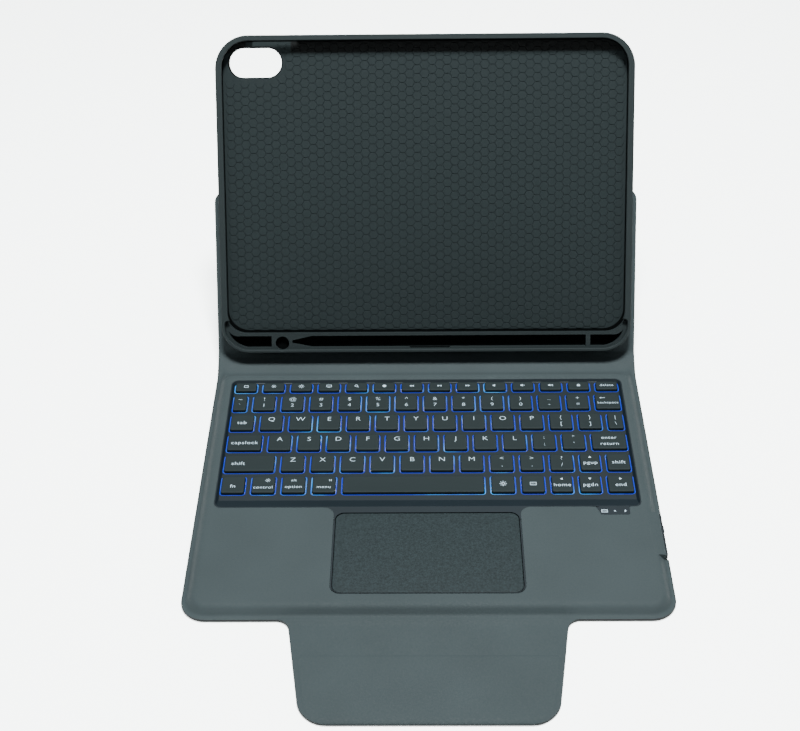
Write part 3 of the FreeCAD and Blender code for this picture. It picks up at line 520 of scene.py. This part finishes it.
def trim_corners():
    """The opening in the skin: touchpad, plastic bridge, light tab and key recess in one."""
    recess, touch, tab = RECESS, TOUCH_FIELD, LIGHT_TAB
    near = recess["near"]
    low = near - tab["depth"]
    return [
        (-recess["half"], near, recess["radius"]),
        (-touch["half"], near, BRIDGE_FLARE),
        (-touch["half"], touch["near"], touch["radius"]),
        (touch["half"], touch["near"], touch["radius"]),
        (touch["half"], near, BRIDGE_FLARE),
        (tab["left"] - tab["slant"], near, tab["radius"] * 1.4),
        (tab["left"], low, tab["radius"]),
        (tab["right"], low, tab["radius"]),
        (tab["right"], near, tab["radius"]),
        (recess["half"], near, recess["radius"]),
        (recess["half"], recess["far"], recess["radius"]),
        (-recess["half"], recess["far"], recess["radius"]),
    ]


def base_skin():
    bm = bmesh.new()
    rings = [add_ring(bm, base_outline(level)) for level in range(len(BASE_LEVELS))]
    for lower, upper in zip(rings, rings[1:]):
        bridge(bm, lower, upper)
    bm.faces.new(reversed(rings[0]))
    sheet_underside = 5.5
    floor_top = 1.2
    hole_levels = ((0.8, BASE_TOP), (0.4, 6.47), (0.12, 6.36), (0.0, 6.15), (0.0, sheet_underside))
    hole_rings = []
    for grow, height in hole_levels:
        hole_rings.append(add_ring(bm, [(x, y, height) for x, y in outline(trim_corners(), grow, 8)]))
    for upper, lower in zip(hole_rings, hole_rings[1:]):
        bridge(bm, upper, lower)
    flat_fill(bm, [rings[-1], hole_rings[0]])
    inside = box_corners(-BASE_HALF, BASE_HALF, 0, CUT + 5.5, BASE_CORNER, 1.0)
    cavity = []
    for height in (sheet_underside, floor_top):
        cavity.append(add_ring(bm, [(x, y, height) for x, y in outline(inside, -6.45, 6)]))
    bridge(bm, cavity[0], cavity[1])
    flat_fill(bm, [cavity[0], hole_rings[-1]])
    bm.faces.new(cavity[1])
    piece = finish_piece("base_skin", bm, materials["cover_fabric"], base_place)
    return add_piece(piece, "base", ("base_outer_cover", "base_top_cover"))


# ------------------------------------------------------------------ folding sheets

SHEET_LEVELS = [(0.6, 0.0), (0.15, 0.12), (0.0, 0.5), (0.0, 1.5), (0.15, 1.88), (0.6, SHEET)]


def sheet_piece(name, stations, levels, material):
    """A closed sheet through stations: (middle point, normal, half width, height function)."""
    bm = bmesh.new()
    rings = []
    for point, normal, half, raised in stations:
        ring = []
        for side, steps in ((1, levels), (-1, reversed(levels))):
            for inset, height in steps:
                x = side * (half - inset)
                ring.append(point + Vector((x, 0, 0)) + normal * (raised(x, height) - SHEET / 2))
        rings.append(add_ring(bm, ring))
    for first, second in zip(rings, rings[1:]):
        bridge(bm, first, second)
    bm.faces.new(rings[-1])
    bm.faces.new(reversed(rings[0]))
    return finish_piece(name, bm, material, Matrix.Identity(4))


def bend_path(before, corner, after, radius, spacing=0.7):
    """Points and normals along two straight runs joined by an arc, in the YZ plane."""
    into, away = (corner - before).normalized(), (after - corner).normalized()
    turn = into.angle(away)
    reach = radius * math.tan(turn / 2)
    path = []

    def run(start, end, direction):
        steps = max(2, round((end - start).length / spacing))
        for step in range(steps):
            path.append((start.lerp(end, step / steps), direction))

    def normal_of(direction):
        return Vector((0, -direction.z, direction.y))

    first, last = corner - into * reach, corner + away * reach
    run(before, first, into)
    bends = max(4, round(radius * turn / spacing))
    for step in range(bends):
        angle = turn * step / bends
        direction = Matrix.Rotation(angle, 3, "X") @ into
        path.append((first + normal_of(into) * radius - normal_of(direction) * radius, direction))
    run(last, after, away)
    path.append((after, away))
    return [(point, normal_of(direction)) for point, direction in path]


SPINE_SEAM = 13.0
PLATEAU_RADIUS = 9.0


def spine_fold_skin():
    """The skin from the plateau's rear edge, through the soft bend, on to the spine."""
    start = Vector((0, FRONT + CUT, SHEET / 2))
    end = spine_point + spine_up * SPINE_SEAM
    levels = list(BASE_LEVELS[1:]) + [(inset, BASE_TOP) for inset in (10.0, 12.0, 14.0, 17.0, 60.0)]
    stations = []
    distance = 0.0
    path = bend_path(start, spine_point, end, 10.0)
    for index, (point, normal) in enumerate(path):
        if index:
            distance += (point - path[index - 1][0]).length
        along = distance - (spine_point - start).length
        fade = 1 - ease(along, -5.0, 9.0)
        thin = 1 - ease(along, -1.0, 4.0) * (1 - SHEET / FLANGE_TOP)

        def raised(x, height, along=along, fade=fade, thin=thin):
            corner_x = max(abs(x) - (BASE_HALF - 5 - PLATEAU_RADIUS), 0.0)
            rounding = PLATEAU_RADIUS - math.sqrt(max(PLATEAU_RADIUS ** 2 - corner_x ** 2, 0.0))
            step = 1 - ease(along + rounding, -4.2, -1.2)
            extra = max(height - FLANGE_TOP, 0.0)
            return min(height, FLANGE_TOP) * thin + extra * (0.82 * fade + 0.18 * step * fade)

        stations.append((point, normal, BASE_HALF, raised))
    piece = sheet_piece("spine_fold_skin", stations, levels, materials["cover_fabric"])
    add_piece(piece, None, ("spine_outer_cover", "spine_lining"))
    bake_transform(piece)


def plain(x, height):
    return height


def flattened(share):
    """A height function that thins the sheet evenly about its middle."""
    return lambda x, height: SHEET / 2 + (height - SHEET / 2) * share


def rounded_end(distance, reach, radius, full):
    """The half width near a sheet's end, whose corners are rounded."""
    over = distance - (reach - radius)
    if over <= 0:
        return full
    return full - radius + math.sqrt(max(radius ** 2 - over ** 2, 0.0))


def back_cover_skin():
    """The stiff lower back cover, from the spine's upper fold to the easel fold."""
    start = spine_point + spine_up * SPINE_SEAM
    crease_clearance = 1.15
    reach = (easel_point - back_point).length - crease_clearance
    end = back_point + panel_up * reach
    corner = 7.0
    stations = []
    for point, normal in bend_path(start, back_point, end - panel_up * corner, 7.0, 1.4):
        stations.append((point, normal, BASE_HALF, plain))
    for angle in range(10, 91, 8):
        distance = reach - corner + corner * math.sin(math.radians(angle))
        share = 1 - 0.35 * ease(distance, reach - 0.5, reach)
        half = rounded_end(distance, reach, corner, BASE_HALF)
        stations.append((back_point + panel_up * distance, panel_out, half, flattened(share)))
    piece = sheet_piece("back_cover_skin", stations, SHEET_LEVELS, materials["cover_fabric"])
    add_piece(piece, None, ("lower_back_cover", "lower_back_lining"))
    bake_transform(piece)


def easel_fold_skin():
    """The thin strip at the easel fold, where the upper half of the back hinges."""
    half = node_box("upper_back_cover")[1].x - 1.2
    stations = []
    for step in range(15):
        point = easel_point + panel_up * (-3.2 + 6.4 * step / 14)
        stations.append((point, panel_out, half, flattened(0.72)))
    piece = sheet_piece("easel_fold_skin", stations, SHEET_LEVELS, materials["cover_fabric"])
    add_piece(piece)
    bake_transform(piece)


CAMERA_WINDOW = box_corners(-118.6, -86.6, 168.0, 185.6, 8.7, 8.7)


def upper_back_skin():
    """The upper back cover, bonded behind the tray, with the camera window."""
    half = node_box("upper_back_cover")[1].x
    low, high = node_reach("upper_back_cover", panel_up)
    shape = box_corners(-half, half, low - tray_foot, high - tray_foot, 0.8, 17.8)
    levels = [(0.6, -SHEET), (0.15, -1.88), (0.0, -1.5), (0.0, 0.0)]
    hole_levels = [(0.0, 0.0), (0.0, -1.6), (0.12, -1.88), (0.5, -SHEET)]
    piece = plate("upper_back_skin", shape, levels, materials["cover_fabric"], tray_place,
                  CAMERA_WINDOW, hole_levels, 8)
    add_piece(piece, "tablet_holder", ("upper_back_cover",))


# ------------------------------------------------------------------ the closure flap

flap_root_point = fold_line("flap_root_fold")
flap_tip_point = fold_line("flap_tip_fold")
FLAP_TOP = 1.8
FLAP_END = 65.0
FLAP_ROOT_HALF = 73.0
FLAP_END_HALF = 63.0
FLAP_CORNER = 13.0
FLAP_FILLET = 5.6


def flap_half(distance):
    """Half the flap's width at a distance in front of the base's edge."""
    taper = FLAP_ROOT_HALF + (FLAP_END_HALF - FLAP_ROOT_HALF) * distance / FLAP_END
    if distance < FLAP_FILLET:
        into = min(distance, FLAP_FILLET)
        taper += FLAP_FILLET - math.sqrt(FLAP_FILLET ** 2 - (FLAP_FILLET - max(into, 0.0)) ** 2)
    return rounded_end(distance, FLAP_END, FLAP_CORNER, taper)


def flap_station(distance, top=FLAP_TOP, share=1.0):
    """A cross-section of the flap in front of the base's edge."""

    def raised(x, height):
        level = height * top / SHEET
        return top / 2 + (level - top / 2) * share

    point = Vector((0, FRONT - distance, SHEET / 2))
    return point, Vector((0, 0, 1)), flap_half(distance), raised


def flap_skins():
    root_seam = FRONT - (flap_root_point.y + flap_tip_point.y) / 2
    stations = []
    steps = 30
    for step in range(steps + 1):
        distance = -2.2 + (root_seam + 2.2) * step / steps
        top = FLAP_TOP + (FLANGE_TOP + 0.03 - FLAP_TOP) * (1 - ease(distance, 0.0, 4.0))
        stations.append(flap_station(distance, top))
    root = sheet_piece("flap_root_skin", stations, SHEET_LEVELS, materials["cover_fabric"])
    add_piece(root, None, ("flap_root_cover", "flap_root_lining"))
    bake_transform(root)

    distances = [root_seam + (FLAP_END - FLAP_CORNER - root_seam) * step / 44 for step in range(45)]
    for angle in range(6, 91, 7):
        distances.append(FLAP_END - FLAP_CORNER + FLAP_CORNER * math.sin(math.radians(angle)))
    stations = [flap_station(d, FLAP_TOP, 1 - 0.45 * ease(d, FLAP_END - 0.7, FLAP_END)) for d in distances]
    tip = sheet_piece("flap_tip_skin", stations, SHEET_LEVELS, materials["cover_fabric"])
    add_piece(tip, None, ("flap_tip_cover", "flap_tip_lining"))
    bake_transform(tip)

    margin = 2.3
    near = FRONT - flap_tip_point.y + 1.2
    far = FLAP_END - margin
    corners = [(-flap_half(near) + margin, -near, 3.0), (-FLAP_END_HALF + margin, -far, FLAP_CORNER - margin),
               (FLAP_END_HALF - margin, -far, FLAP_CORNER - margin), (flap_half(near) - margin, -near, 3.0)]
    levels = [(0.0, FLAP_TOP - 0.3), (0.05, FLAP_TOP), (0.5, FLAP_TOP + 0.09),
              (1.1, SHEET - 0.02), (1.8, SHEET)]
    panel = plate("flap_pressed_panel", corners, levels, materials["cover_fabric"], base_place, steps=8)
    add_piece(panel, "flap_tip")


# ------------------------------------------------------------------ keys


def loose_boxes(name):
    """The box of each separate solid of a CAD node, from left to right, in millimetres."""
    bm = bmesh.new()
    bm.from_mesh(nodes[name].data)
    bmesh.ops.remove_doubles(bm, verts=bm.verts, dist=1e-7)
    unseen = set(bm.verts)
    boxes = []
    while unseen:
        waiting = [unseen.pop()]
        low = waiting[0].co.copy()
        high = low.copy()
        while waiting:
            vertex = waiting.pop()
            for axis in range(3):
                low[axis] = min(low[axis], vertex.co[axis])
                high[axis] = max(high[axis], vertex.co[axis])
            for edge in vertex.link_edges:
                other = edge.other_vert(vertex)
                if other in unseen:
                    unseen.remove(other)
                    waiting.append(other)
        boxes.append((low / MM, high / MM))
    bm.free()
    return sorted(boxes, key=lambda pair: pair[0].x)


def key_corners(low, high, radius=1.3):
    return box_corners(low.x, high.x, low.y, high.y, radius, radius)


def key_caps(node, boxes):
    """Caps with drafted sides, a rounded top edge and a shallow dish."""
    bm = bmesh.new()
    for low, high in boxes:
        top = high.z
        levels = ((0.8, top - 0.8), (0.8, low.z), (0.0, low.z), (0.0, low.z + 0.25), (0.1, top - 0.5),
                  (0.2, top - 0.22), (0.38, top - 0.06), (0.62, top), (1.6, top - 0.05), (3.0, top - 0.1))
        rings = []
        for inset, height in levels:
            corners = key_corners(low, high, 3.2 if inset > 1.0 else 1.3)
            rings.append(add_ring(bm, [(x, y, height) for x, y in outline(corners, -inset, 4)]))
        for lower, upper in zip(rings, rings[1:]):
            bridge(bm, lower, upper)
        bm.faces.new(rings[-1])
        bm.faces.new(reversed(rings[0]))
    return finish_piece(node + "_caps", bm, materials["key_plastic"], Matrix.Identity(4))


def deck_highlight_strip():
    """A thin strip along the rear edge of the keyboard's recess, glossy so that it catches the lamp, and coloured
    far lighter than the deck as a painted highlight.
    """
    rear = RECESS["far"] - 1.35
    corners = box_corners(-RECESS["half"] + 5, RECESS["half"] - 5, rear, rear + 0.4, 0.12, 0.12)
    levels = [(0.0, 4.3), (0.0, 4.8), (0.1, 4.95)]
    piece = plate("deck_rear_highlight", corners, levels, materials["painted_highlight_edge"], base_place)
    add_piece(piece, "base")


def light_rims(boxes):
    """The lit edge round every key, where the light guide shows in the deck's openings."""
    deck = node_box("upper_housing")[1].z - 1.9
    profile = ((0.10, deck - 0.7), (0.10, deck - 0.2), (0.34, deck + 0.03),
               (0.66, deck + 0.05), (0.66, deck - 0.05), (0.34, deck - 0.7))
    bm = bmesh.new()
    for low, high in boxes:
        rings = []
        for grow, height in profile:
            rings.append(add_ring(bm, [(x, y, height) for x, y in outline(key_corners(low, high), grow, 4)]))
        for first, second in zip(rings, rings[1:] + rings[:1]):
            bridge(bm, first, second)
    piece = finish_piece("key_light_rims", bm, materials["light_guide"], Matrix.Identity(4))
    add_piece(piece, "base")


# ------------------------------------------------------------------ legends


def disc(x, y, radius, points=12):
    turns = [2 * math.pi * step / points for step in range(points)]
    return [[(x + radius * math.cos(t), y + radius * math.sin(t)) for t in turns]]


def arc_band(x, y, radius, width, start=0.0, end=360.0, steps=12):
    """A curved band, as convex pieces."""
    bands = []
    for step in range(steps):
        a = math.radians(start + (end - start) * step / steps)
        b = math.radians(start + (end - start) * (step + 1) / steps)
        inner, outer = radius - width / 2, radius + width / 2
        bands.append([(x + inner * math.cos(a), y + inner * math.sin(a)),
                      (x + outer * math.cos(a), y + outer * math.sin(a)),
                      (x + outer * math.cos(b), y + outer * math.sin(b)),
                      (x + inner * math.cos(b), y + inner * math.sin(b))])
    return bands


def bar(x0, y0, x1, y1, width):
    along = Vector((x1 - x0, y1 - y0)).normalized() * (width / 2)
    across = Vector((-along.y, along.x))
    return [[(x0 + across.x, y0 + across.y), (x0 - across.x, y0 - across.y),
             (x1 - across.x, y1 - across.y), (x1 + across.x, y1 + across.y)]]


def frame_box(x, y, wide, high, width):
    left, right, low, top = x - wide / 2, x + wide / 2, y - high / 2, y + high / 2
    return (bar(left, low, right, low, width) + bar(left, top, right, top, width)
            + bar(left, low, left, top, width) + bar(right, low, right, top, width))


def arrow(x, y, size, angle):
    """A solid triangle that points at an angle."""
    turns = [math.radians(angle + turn) for turn in (0, 120, 240)]
    return [[(x + size * math.cos(t), y + size * math.sin(t)) for t in turns]]


def sun(x, y, radius, rays):
    shapes = arc_band(x, y, radius, 0.28)
    for ray in range(rays):
        turn = 2 * math.pi * ray / rays
        near, far = radius + 0.45, radius + 0.95
        shapes += bar(x + near * math.cos(turn), y + near * math.sin(turn),
                      x + far * math.cos(turn), y + far * math.sin(turn), 0.28)
    return shapes


def speaker(waves):
    shapes = [[(-1.5, -0.45), (-0.9, -0.45), (-0.9, 0.45), (-1.5, 0.45)],
              [(-0.9, -0.45), (-0.1, -1.0), (-0.1, 1.0), (-0.9, 0.45)]]
    for wave in range(waves):
        shapes += arc_band(0.0, 0, 0.7 + 0.6 * wave, 0.28, -45, 45, 5)
    return shapes


def keyboard_mark(wide, high):
    """A small keyboard: two rows of keys in a frame."""
    shapes = frame_box(0, 0, wide, high, 0.26)
    for column in range(4):
        x = (column - 1.5) * wide * 0.22
        for row in (0.24, -0.22):
            shapes += bar(x - 0.16, row * high, x + 0.16, row * high, 0.34)
    return shapes


ICONS = {
    "home_ring": frame_box(0, 0, 2.3, 1.7, 0.28),
    "dim": sun(0, 0, 0.45, 8),
    "bright": sun(0, 0, 0.75, 8),
    "screen": frame_box(0, 0.2, 2.9, 1.7, 0.28) + bar(-0.7, -1.1, 0.7, -1.1, 0.28),
    "search": arc_band(-0.25, 0.25, 0.85, 0.28) + bar(0.4, -0.4, 1.1, -1.1, 0.34),
    "globe": disc(0, 0, 1.1, 16),
    "back": arrow(-0.75, 0, 0.85, 180) + arrow(0.65, 0, 0.85, 180),
    "play": arrow(-0.9, 0, 0.85, 0) + bar(0.35, -0.6, 0.35, 0.6, 0.34) + bar(1.0, -0.6, 1.0, 0.6, 0.34),
    "onward": arrow(-0.75, 0, 0.85, 0) + arrow(0.65, 0, 0.85, 0),
    "quiet": speaker(0),
    "louder": speaker(1),
    "loudest": speaker(2),
    "lock": [[(-0.95, -1.0), (0.95, -1.0), (0.95, 0.15), (-0.95, 0.15)]]
            + arc_band(0, 0.15, 0.6, 0.3, 0, 180, 8),
    "lamp": sun(0, 0.15, 0.6, 8) + bar(-0.35, -1.15, 0.35, -1.15, 0.3),
    "board": keyboard_mark(3.4, 2.2),
    "left": arrow(0, 0, 1.0, 180),
    "right": arrow(0, 0, 1.0, 0),
    "up": arrow(0, 0, 1.0, 90),
    "down": arrow(0, 0, 1.0, 270),
    "long_left": arrow(-1.2, 0, 0.7, 180) + bar(-0.9, 0, 1.4, 0, 0.28),
    "beam": bar(-0.6, -0.9, -0.6, 0.9, 0.28) + bar(0.6, -0.9, 0.6, 0.9, 0.28) + bar(-0.6, 0, 0.6, 0, 0.28),
}

LETTER = 3.5
SMALL = 2.3


def letters(text):
    """A row of letter keys: one letter each, in the upper middle."""
    return [[("text", letter, 0.0, 2.3, LETTER)] for letter in text]


def pairs(upper, lower):
    """Keys with a shifted sign above the plain one."""
    return [[("text", a, 0.0, 2.9, 2.9), ("text", b, 0.0, -2.6, 2.9)] for a, b in zip(upper, lower)]


def word(text, x=0.0, y=-2.2, height=SMALL):
    return ("text", text, x, y, height)


def icon(name, x=0.0, y=0.0, scale=1.0):
    return ("icon", name, x, y, scale)


LEGENDS = {
    "function_keys": [[icon(name, 0, 0.4)] for name in (
        "home_ring", "dim", "bright", "screen", "search", "globe", "back", "play", "onward",
        "quiet", "louder", "loudest", "lock")] + [[word("delete", 0, 0.2, 2.0)]],
    "number_keys": pairs("~!@#$%^&*()_+", "`1234567890-="),
    "backspace_key": [[icon("long_left", -2.8, 3.0), word("backspace", 0, -1.4, 1.9)]],
    "tab_key": [[word("tab", 0, -0.6, 2.7)]],
    "upper_letter_keys": letters("QWERTYUIOP") + pairs("{}", "[]"),
    "backslash_key": pairs("|", "\\"),
    "caps_lock_key": [[word("capslock", 0, -0.6, 2.7)]],
    "home_letter_keys": letters("ASDFGHJKL") + pairs(":\"", ";'"),
    "enter_key": [[word("enter", 0, 2.6, 2.5), word("return", 0, -2.6, 2.5)]],
    "left_shift_key": [[word("shift", -6.5, -0.6, 2.7)]],
    "lower_letter_keys": letters("ZXCVBNM") + pairs("<>?", ",./"),
    "up_arrow_key": [[icon("up", 0, 3.6), word("pgup", 0, -0.9, 2.6)]],
    "right_shift_key": [[word("shift", 0, -0.6, 2.7)]],
    "fn_key": [[word("fn", 0, -1.6, 2.6)]],
    "control_key": [[icon("dim", 2.4, 3.0), word("control", 0, -2.6, 2.2)]],
    "option_key": [[word("alt", 0, 3.0, 1.9), word("option", 0, -2.2, 2.2)]],
    "command_key": [[icon("beam", 3.6, 3.0, 0.9), word("menu", 0, -2.4, 2.2)]],
    "backlight_key": [[icon("lamp", 0, -0.4, 1.3)]],
    "keyboard_key": [[icon("board", 0, -0.4)]],
    "left_arrow_key": [[icon("left", 0, 3.4), word("home", 0, -1.4, 2.7)]],
    "down_arrow_key": [[icon("down", 0, 3.6), word("pgdn", 0, -1.4, 2.7)]],
    "right_arrow_key": [[icon("right", 0, 3.4), word("end", 0, -1.4, 2.7)]],
}


def text_mesh(text, height):
    """The text as a thin mesh, centred on the origin and this many millimetres high."""
    curve = bpy.data.curves.new("legend", "FONT")
    curve.body = text
    curve.align_x = "CENTER"
    curve.align_y = "CENTER"
    curve.size = height * 1.38
    curve.resolution_u = 3
    curve.extrude = 0.012
    curve.offset = -0.016 * curve.size if len(text) == 1 else -0.005 * curve.size
    curve.space_character = 1.1
    holder = bpy.data.objects.new("legend", curve)
    mesh = bpy.data.meshes.new_from_object(holder)
    bpy.data.objects.remove(holder)
    bpy.data.curves.remove(curve)
    return mesh


def key_legends(node, boxes):
    """The lit marks of a node's keys, standing a hair above the dished tops."""
    dish, half_thick, widening = 0.045, 0.012, 1.12
    bm = bmesh.new()
    for (low, high), marks in zip(boxes, LEGENDS[node]):
        middle = (low + high) / 2
        top = high.z - dish
        for kind, what, x, y, scale in marks:
            if kind == "text":
                mesh = text_mesh(what, scale)
                place = Matrix.Translation((middle.x + x, middle.y + y, top))
                mesh.transform(place @ Matrix.Diagonal((widening, 1, 1, 1)))
                bm.from_mesh(mesh)
                bpy.data.meshes.remove(mesh)
            else:
                for shape in ICONS[what]:
                    points = [(middle.x + x + px * scale, middle.y + y + py * scale) for px, py in shape]
                    prism(bm, points, top - half_thick, top + half_thick)
    return finish_piece(node + "_legends", bm, legend_ink, Matrix.Identity(4))


def keys():
    every = []
    for node in LEGENDS:
        boxes = loose_boxes(node)
        every += boxes
        add_piece(key_caps(node, boxes), node, (node,))
        add_piece(key_legends(node, boxes), node)
    space = loose_boxes("space_bar")
    every += space
    add_piece(key_caps("space_bar", space), "space_bar", ("space_bar",))
    light_rims(every)


# ------------------------------------------------------------------ touchpad and status lights


def touchpad_plate():
    low, high = node_box("touchpad")
    levels = [(0.0, low.z), (0.0, high.z - 0.3), (0.1, high.z - 0.12), (0.32, high.z - 0.02), (0.6, high.z)]
    piece = plate("touchpad_plate", box_corners(low.x, high.x, low.y, high.y, 4.8, 4.8), levels,
                  materials["touch_surface"], Matrix.Identity(4), steps=10)
    add_piece(piece, "touchpad", ("touchpad",))


STATUS_TOP = 6.33


def status_panel():
    """The dark plate in the light tab, which the status marks shine through."""
    tab = LIGHT_TAB
    near = RECESS["near"] - tab["depth"] - 0.3
    far = RECESS["near"] - 0.2
    corners = [(tab["left"] - 0.4, near, 1.2), (tab["right"] + 0.4, near, 1.2),
               (tab["right"] + 0.4, far, 0.4), (tab["left"] - 2.6, far, 0.4)]
    levels = [(0.0, 5.6), (0.0, 6.2), (0.15, STATUS_TOP)]
    piece = plate("status_panel", corners, levels, materials["housing_plastic"], base_place)
    add_piece(piece, "base")


def status_marks():
    """Three small lit marks on the light tab: keyboard, link and charge."""
    lenses = loose_boxes("status_lenses")
    shapes = [keyboard_mark(3.3, 1.9),
              [[(-0.7, 0.9), (-0.1, 0.2), (0.9, -0.9), (0.1, -0.2)]] + disc(0, 0, 0.45),
              [[(-0.4, -0.9), (0.55, 0.0), (-0.05, 0.95), (-0.5, 0.1)]]]
    nearer, raised_by = 1.7, 0.05
    bm = bmesh.new()
    for (low, high), marks in zip(lenses, shapes):
        middle = (low + high) / 2
        for shape in marks:
            points = [(middle.x + x, middle.y + y - nearer) for x, y in shape]
            prism(bm, points, STATUS_TOP, STATUS_TOP + raised_by)
    piece = finish_piece("status_marks", bm, legend_ink, Matrix.Identity(4))
    add_piece(piece, "base")


# ------------------------------------------------------------------ the tray's patterned pad

HEX_COLUMN = 4.55
HEX_ROW = 5.25
HEX_GAP = 0.4


def tray_pad():
    """A pad pressed with shallow hexagons, each with a chamfered edge."""
    half = node_box("tray_liner")[1].x
    low, high = node_reach("tray_liner", panel_up)
    near, far = low - tray_foot, high - tray_foot
    bottom, top = (reach - tray_back for reach in node_reach("tray_liner", panel_out))
    sole = top - 0.28
    shape = box_corners(-half, half, near, far, 12.8, 14.5)
    levels = [(0.0, bottom), (0.0, sole - 0.1), (0.1, sole)]
    hole_levels = [(0.7, sole), (0.6, sole - 0.1), (0.6, bottom)]
    bm = bmesh.new()
    backing = plate("pad_backing", shape, levels, materials["tray_rubber"], Matrix.Identity(4), CAMERA_WINDOW,
                    hole_levels, 8)
    backing.data.transform(Matrix.Scale(1 / MM, 4))
    bm.from_mesh(backing.data)
    bpy.data.objects.remove(backing)
    radius = HEX_ROW / math.sqrt(3) - HEX_GAP / math.sqrt(3)
    columns = int(half // HEX_COLUMN)
    rows = int((far - near) // HEX_ROW) + 1
    middle_row = (near + far) / 2
    for column in range(-columns, columns + 1):
        x = column * HEX_COLUMN
        shift = HEX_ROW / 2 if column % 2 else 0.0
        for row in range(-rows // 2, rows // 2 + 1):
            y = middle_row + row * HEX_ROW + shift
            if hexagon_fits(x, y, half, near, far):
                hexagon(bm, x, y, radius, sole - 0.05, top, (-half + 0.4, half - 0.4, near + 0.4, far - 0.4))
    piece = finish_piece("tray_hexagon_pad", bm, materials["pad_rubber"], tray_place, 20)
    add_piece(piece, "tablet_holder", ("tray_liner",))


def hexagon_fits(x, y, half, near, far):
    """True for a hexagon that stands clear of the pad's rounded corners and camera window."""
    left, low = CAMERA_WINDOW[0][:2]
    right, high = CAMERA_WINDOW[1][0], CAMERA_WINDOW[2][1]
    spread = (high - low) / 2
    nearest = min(max(x, left + spread), right - spread)
    clear_of_window = math.hypot(x - nearest, y - (low + high) / 2) > spread + 2.6
    corner = 13.0
    over_x = max(abs(x) - (half - corner), 0.0)
    over_y = max(y - (far - corner), (near + corner) - y, 0.0)
    return clear_of_window and math.hypot(over_x, over_y) < corner - 1.0 and near < y < far


def hexagon(bm, x, y, radius, low, top, limits):
    """One raised hexagon, trimmed where it passes the pad's edge."""
    left, right, near, far = limits
    rings = []
    for share, height in ((1.0, low), (1.0, top - 0.1), (0.95, top)):
        ring = []
        for corner in range(6):
            turn = math.radians(60 * corner)
            px = min(max(x + radius * share * math.cos(turn), left), right)
            py = min(max(y + radius * share * math.sin(turn), near), far)
            ring.append((px, py, height))
        rings.append(add_ring(bm, ring))
    for lower, upper in zip(rings, rings[1:]):
        bridge(bm, lower, upper)
    bm.faces.new(rings[-1])


# ------------------------------------------------------------------ camera, floor and light


def add_camera():
    """Looks down at the case from in front, a little to the left of its middle."""
    camera = bpy.data.cameras.new("camera")
    camera.lens = 64.77
    camera.sensor_width = 36.0
    holder = bpy.data.objects.new("camera", camera)
    bpy.context.scene.collection.objects.link(holder)
    down, yaw, roll = math.radians(39.79), math.radians(-1.13), math.radians(-1.01)
    forward = Vector((math.sin(yaw) * math.cos(down), math.cos(yaw) * math.cos(down), -math.sin(down)))
    level = Vector((math.cos(yaw), -math.sin(yaw), 0))
    above = level.cross(forward)
    right = level * math.cos(roll) + above * math.sin(roll)
    up = above * math.cos(roll) - level * math.sin(roll)
    turned = Matrix((right, up, -forward)).transposed().to_4x4()
    holder.matrix_world = Matrix.Translation((-0.0026, -0.5853, 0.58001)) @ turned
    bpy.context.scene.camera = holder


def add_floor():
    shader = Shader("pale_floor", (0.93, 0.95, 0.95), 0.6)
    shader.colour(shader.grain(400.0, 2.0), (0.92, 0.95, 0.94), (0.94, 0.97, 0.96))
    shader.surface.inputs["Emission Color"].default_value = (0.97, 1.0, 0.99, 1)
    shader.surface.inputs["Emission Strength"].default_value = 2.0
    bm = bmesh.new()
    reach, drop = 6000.0, -0.15
    bm.faces.new(add_ring(bm, [(-reach, -reach, drop), (reach, -reach, drop), (reach, reach, drop),
                               (-reach, reach, drop)]))
    finish_piece("floor", bm, shader.material, Matrix.Identity(4))


def add_light(name, place, target, size, watts, colour=(1, 1, 1)):
    lamp = bpy.data.lights.new(name, "AREA")
    lamp.shape = "DISK"
    lamp.size = size
    lamp.energy = watts
    lamp.color = colour
    holder = bpy.data.objects.new(name, lamp)
    holder.location = place
    holder.rotation_mode = "QUATERNION"
    holder.rotation_quaternion = (Vector(target) - Vector(place)).to_track_quat("-Z", "Y")
    bpy.context.scene.collection.objects.link(holder)


def add_lights():
    world = bpy.data.worlds.new("studio")
    world.use_nodes = True
    background = world.node_tree.nodes["Background"]
    background.inputs["Color"].default_value = (0.90, 0.96, 1.0, 1)
    background.inputs["Strength"].default_value = 0.3
    bpy.context.scene.world = world
    add_light("overhead", (0.05, 0.02, 1.7), (0, 0.02, 0), 0.35, 150, (0.96, 1.0, 0.99))
    add_light("front_fill", (-0.7, -1.4, 1.3), (0, 0, 0.05), 1.0, 8, (0.96, 1.0, 0.99))


base_skin()
spine_fold_skin()
back_cover_skin()
easel_fold_skin()
upper_back_skin()
flap_skins()
keys()
deck_highlight_strip()
touchpad_plate()
status_panel()
status_marks()
tray_pad()
add_camera()
add_floor()
add_lights()
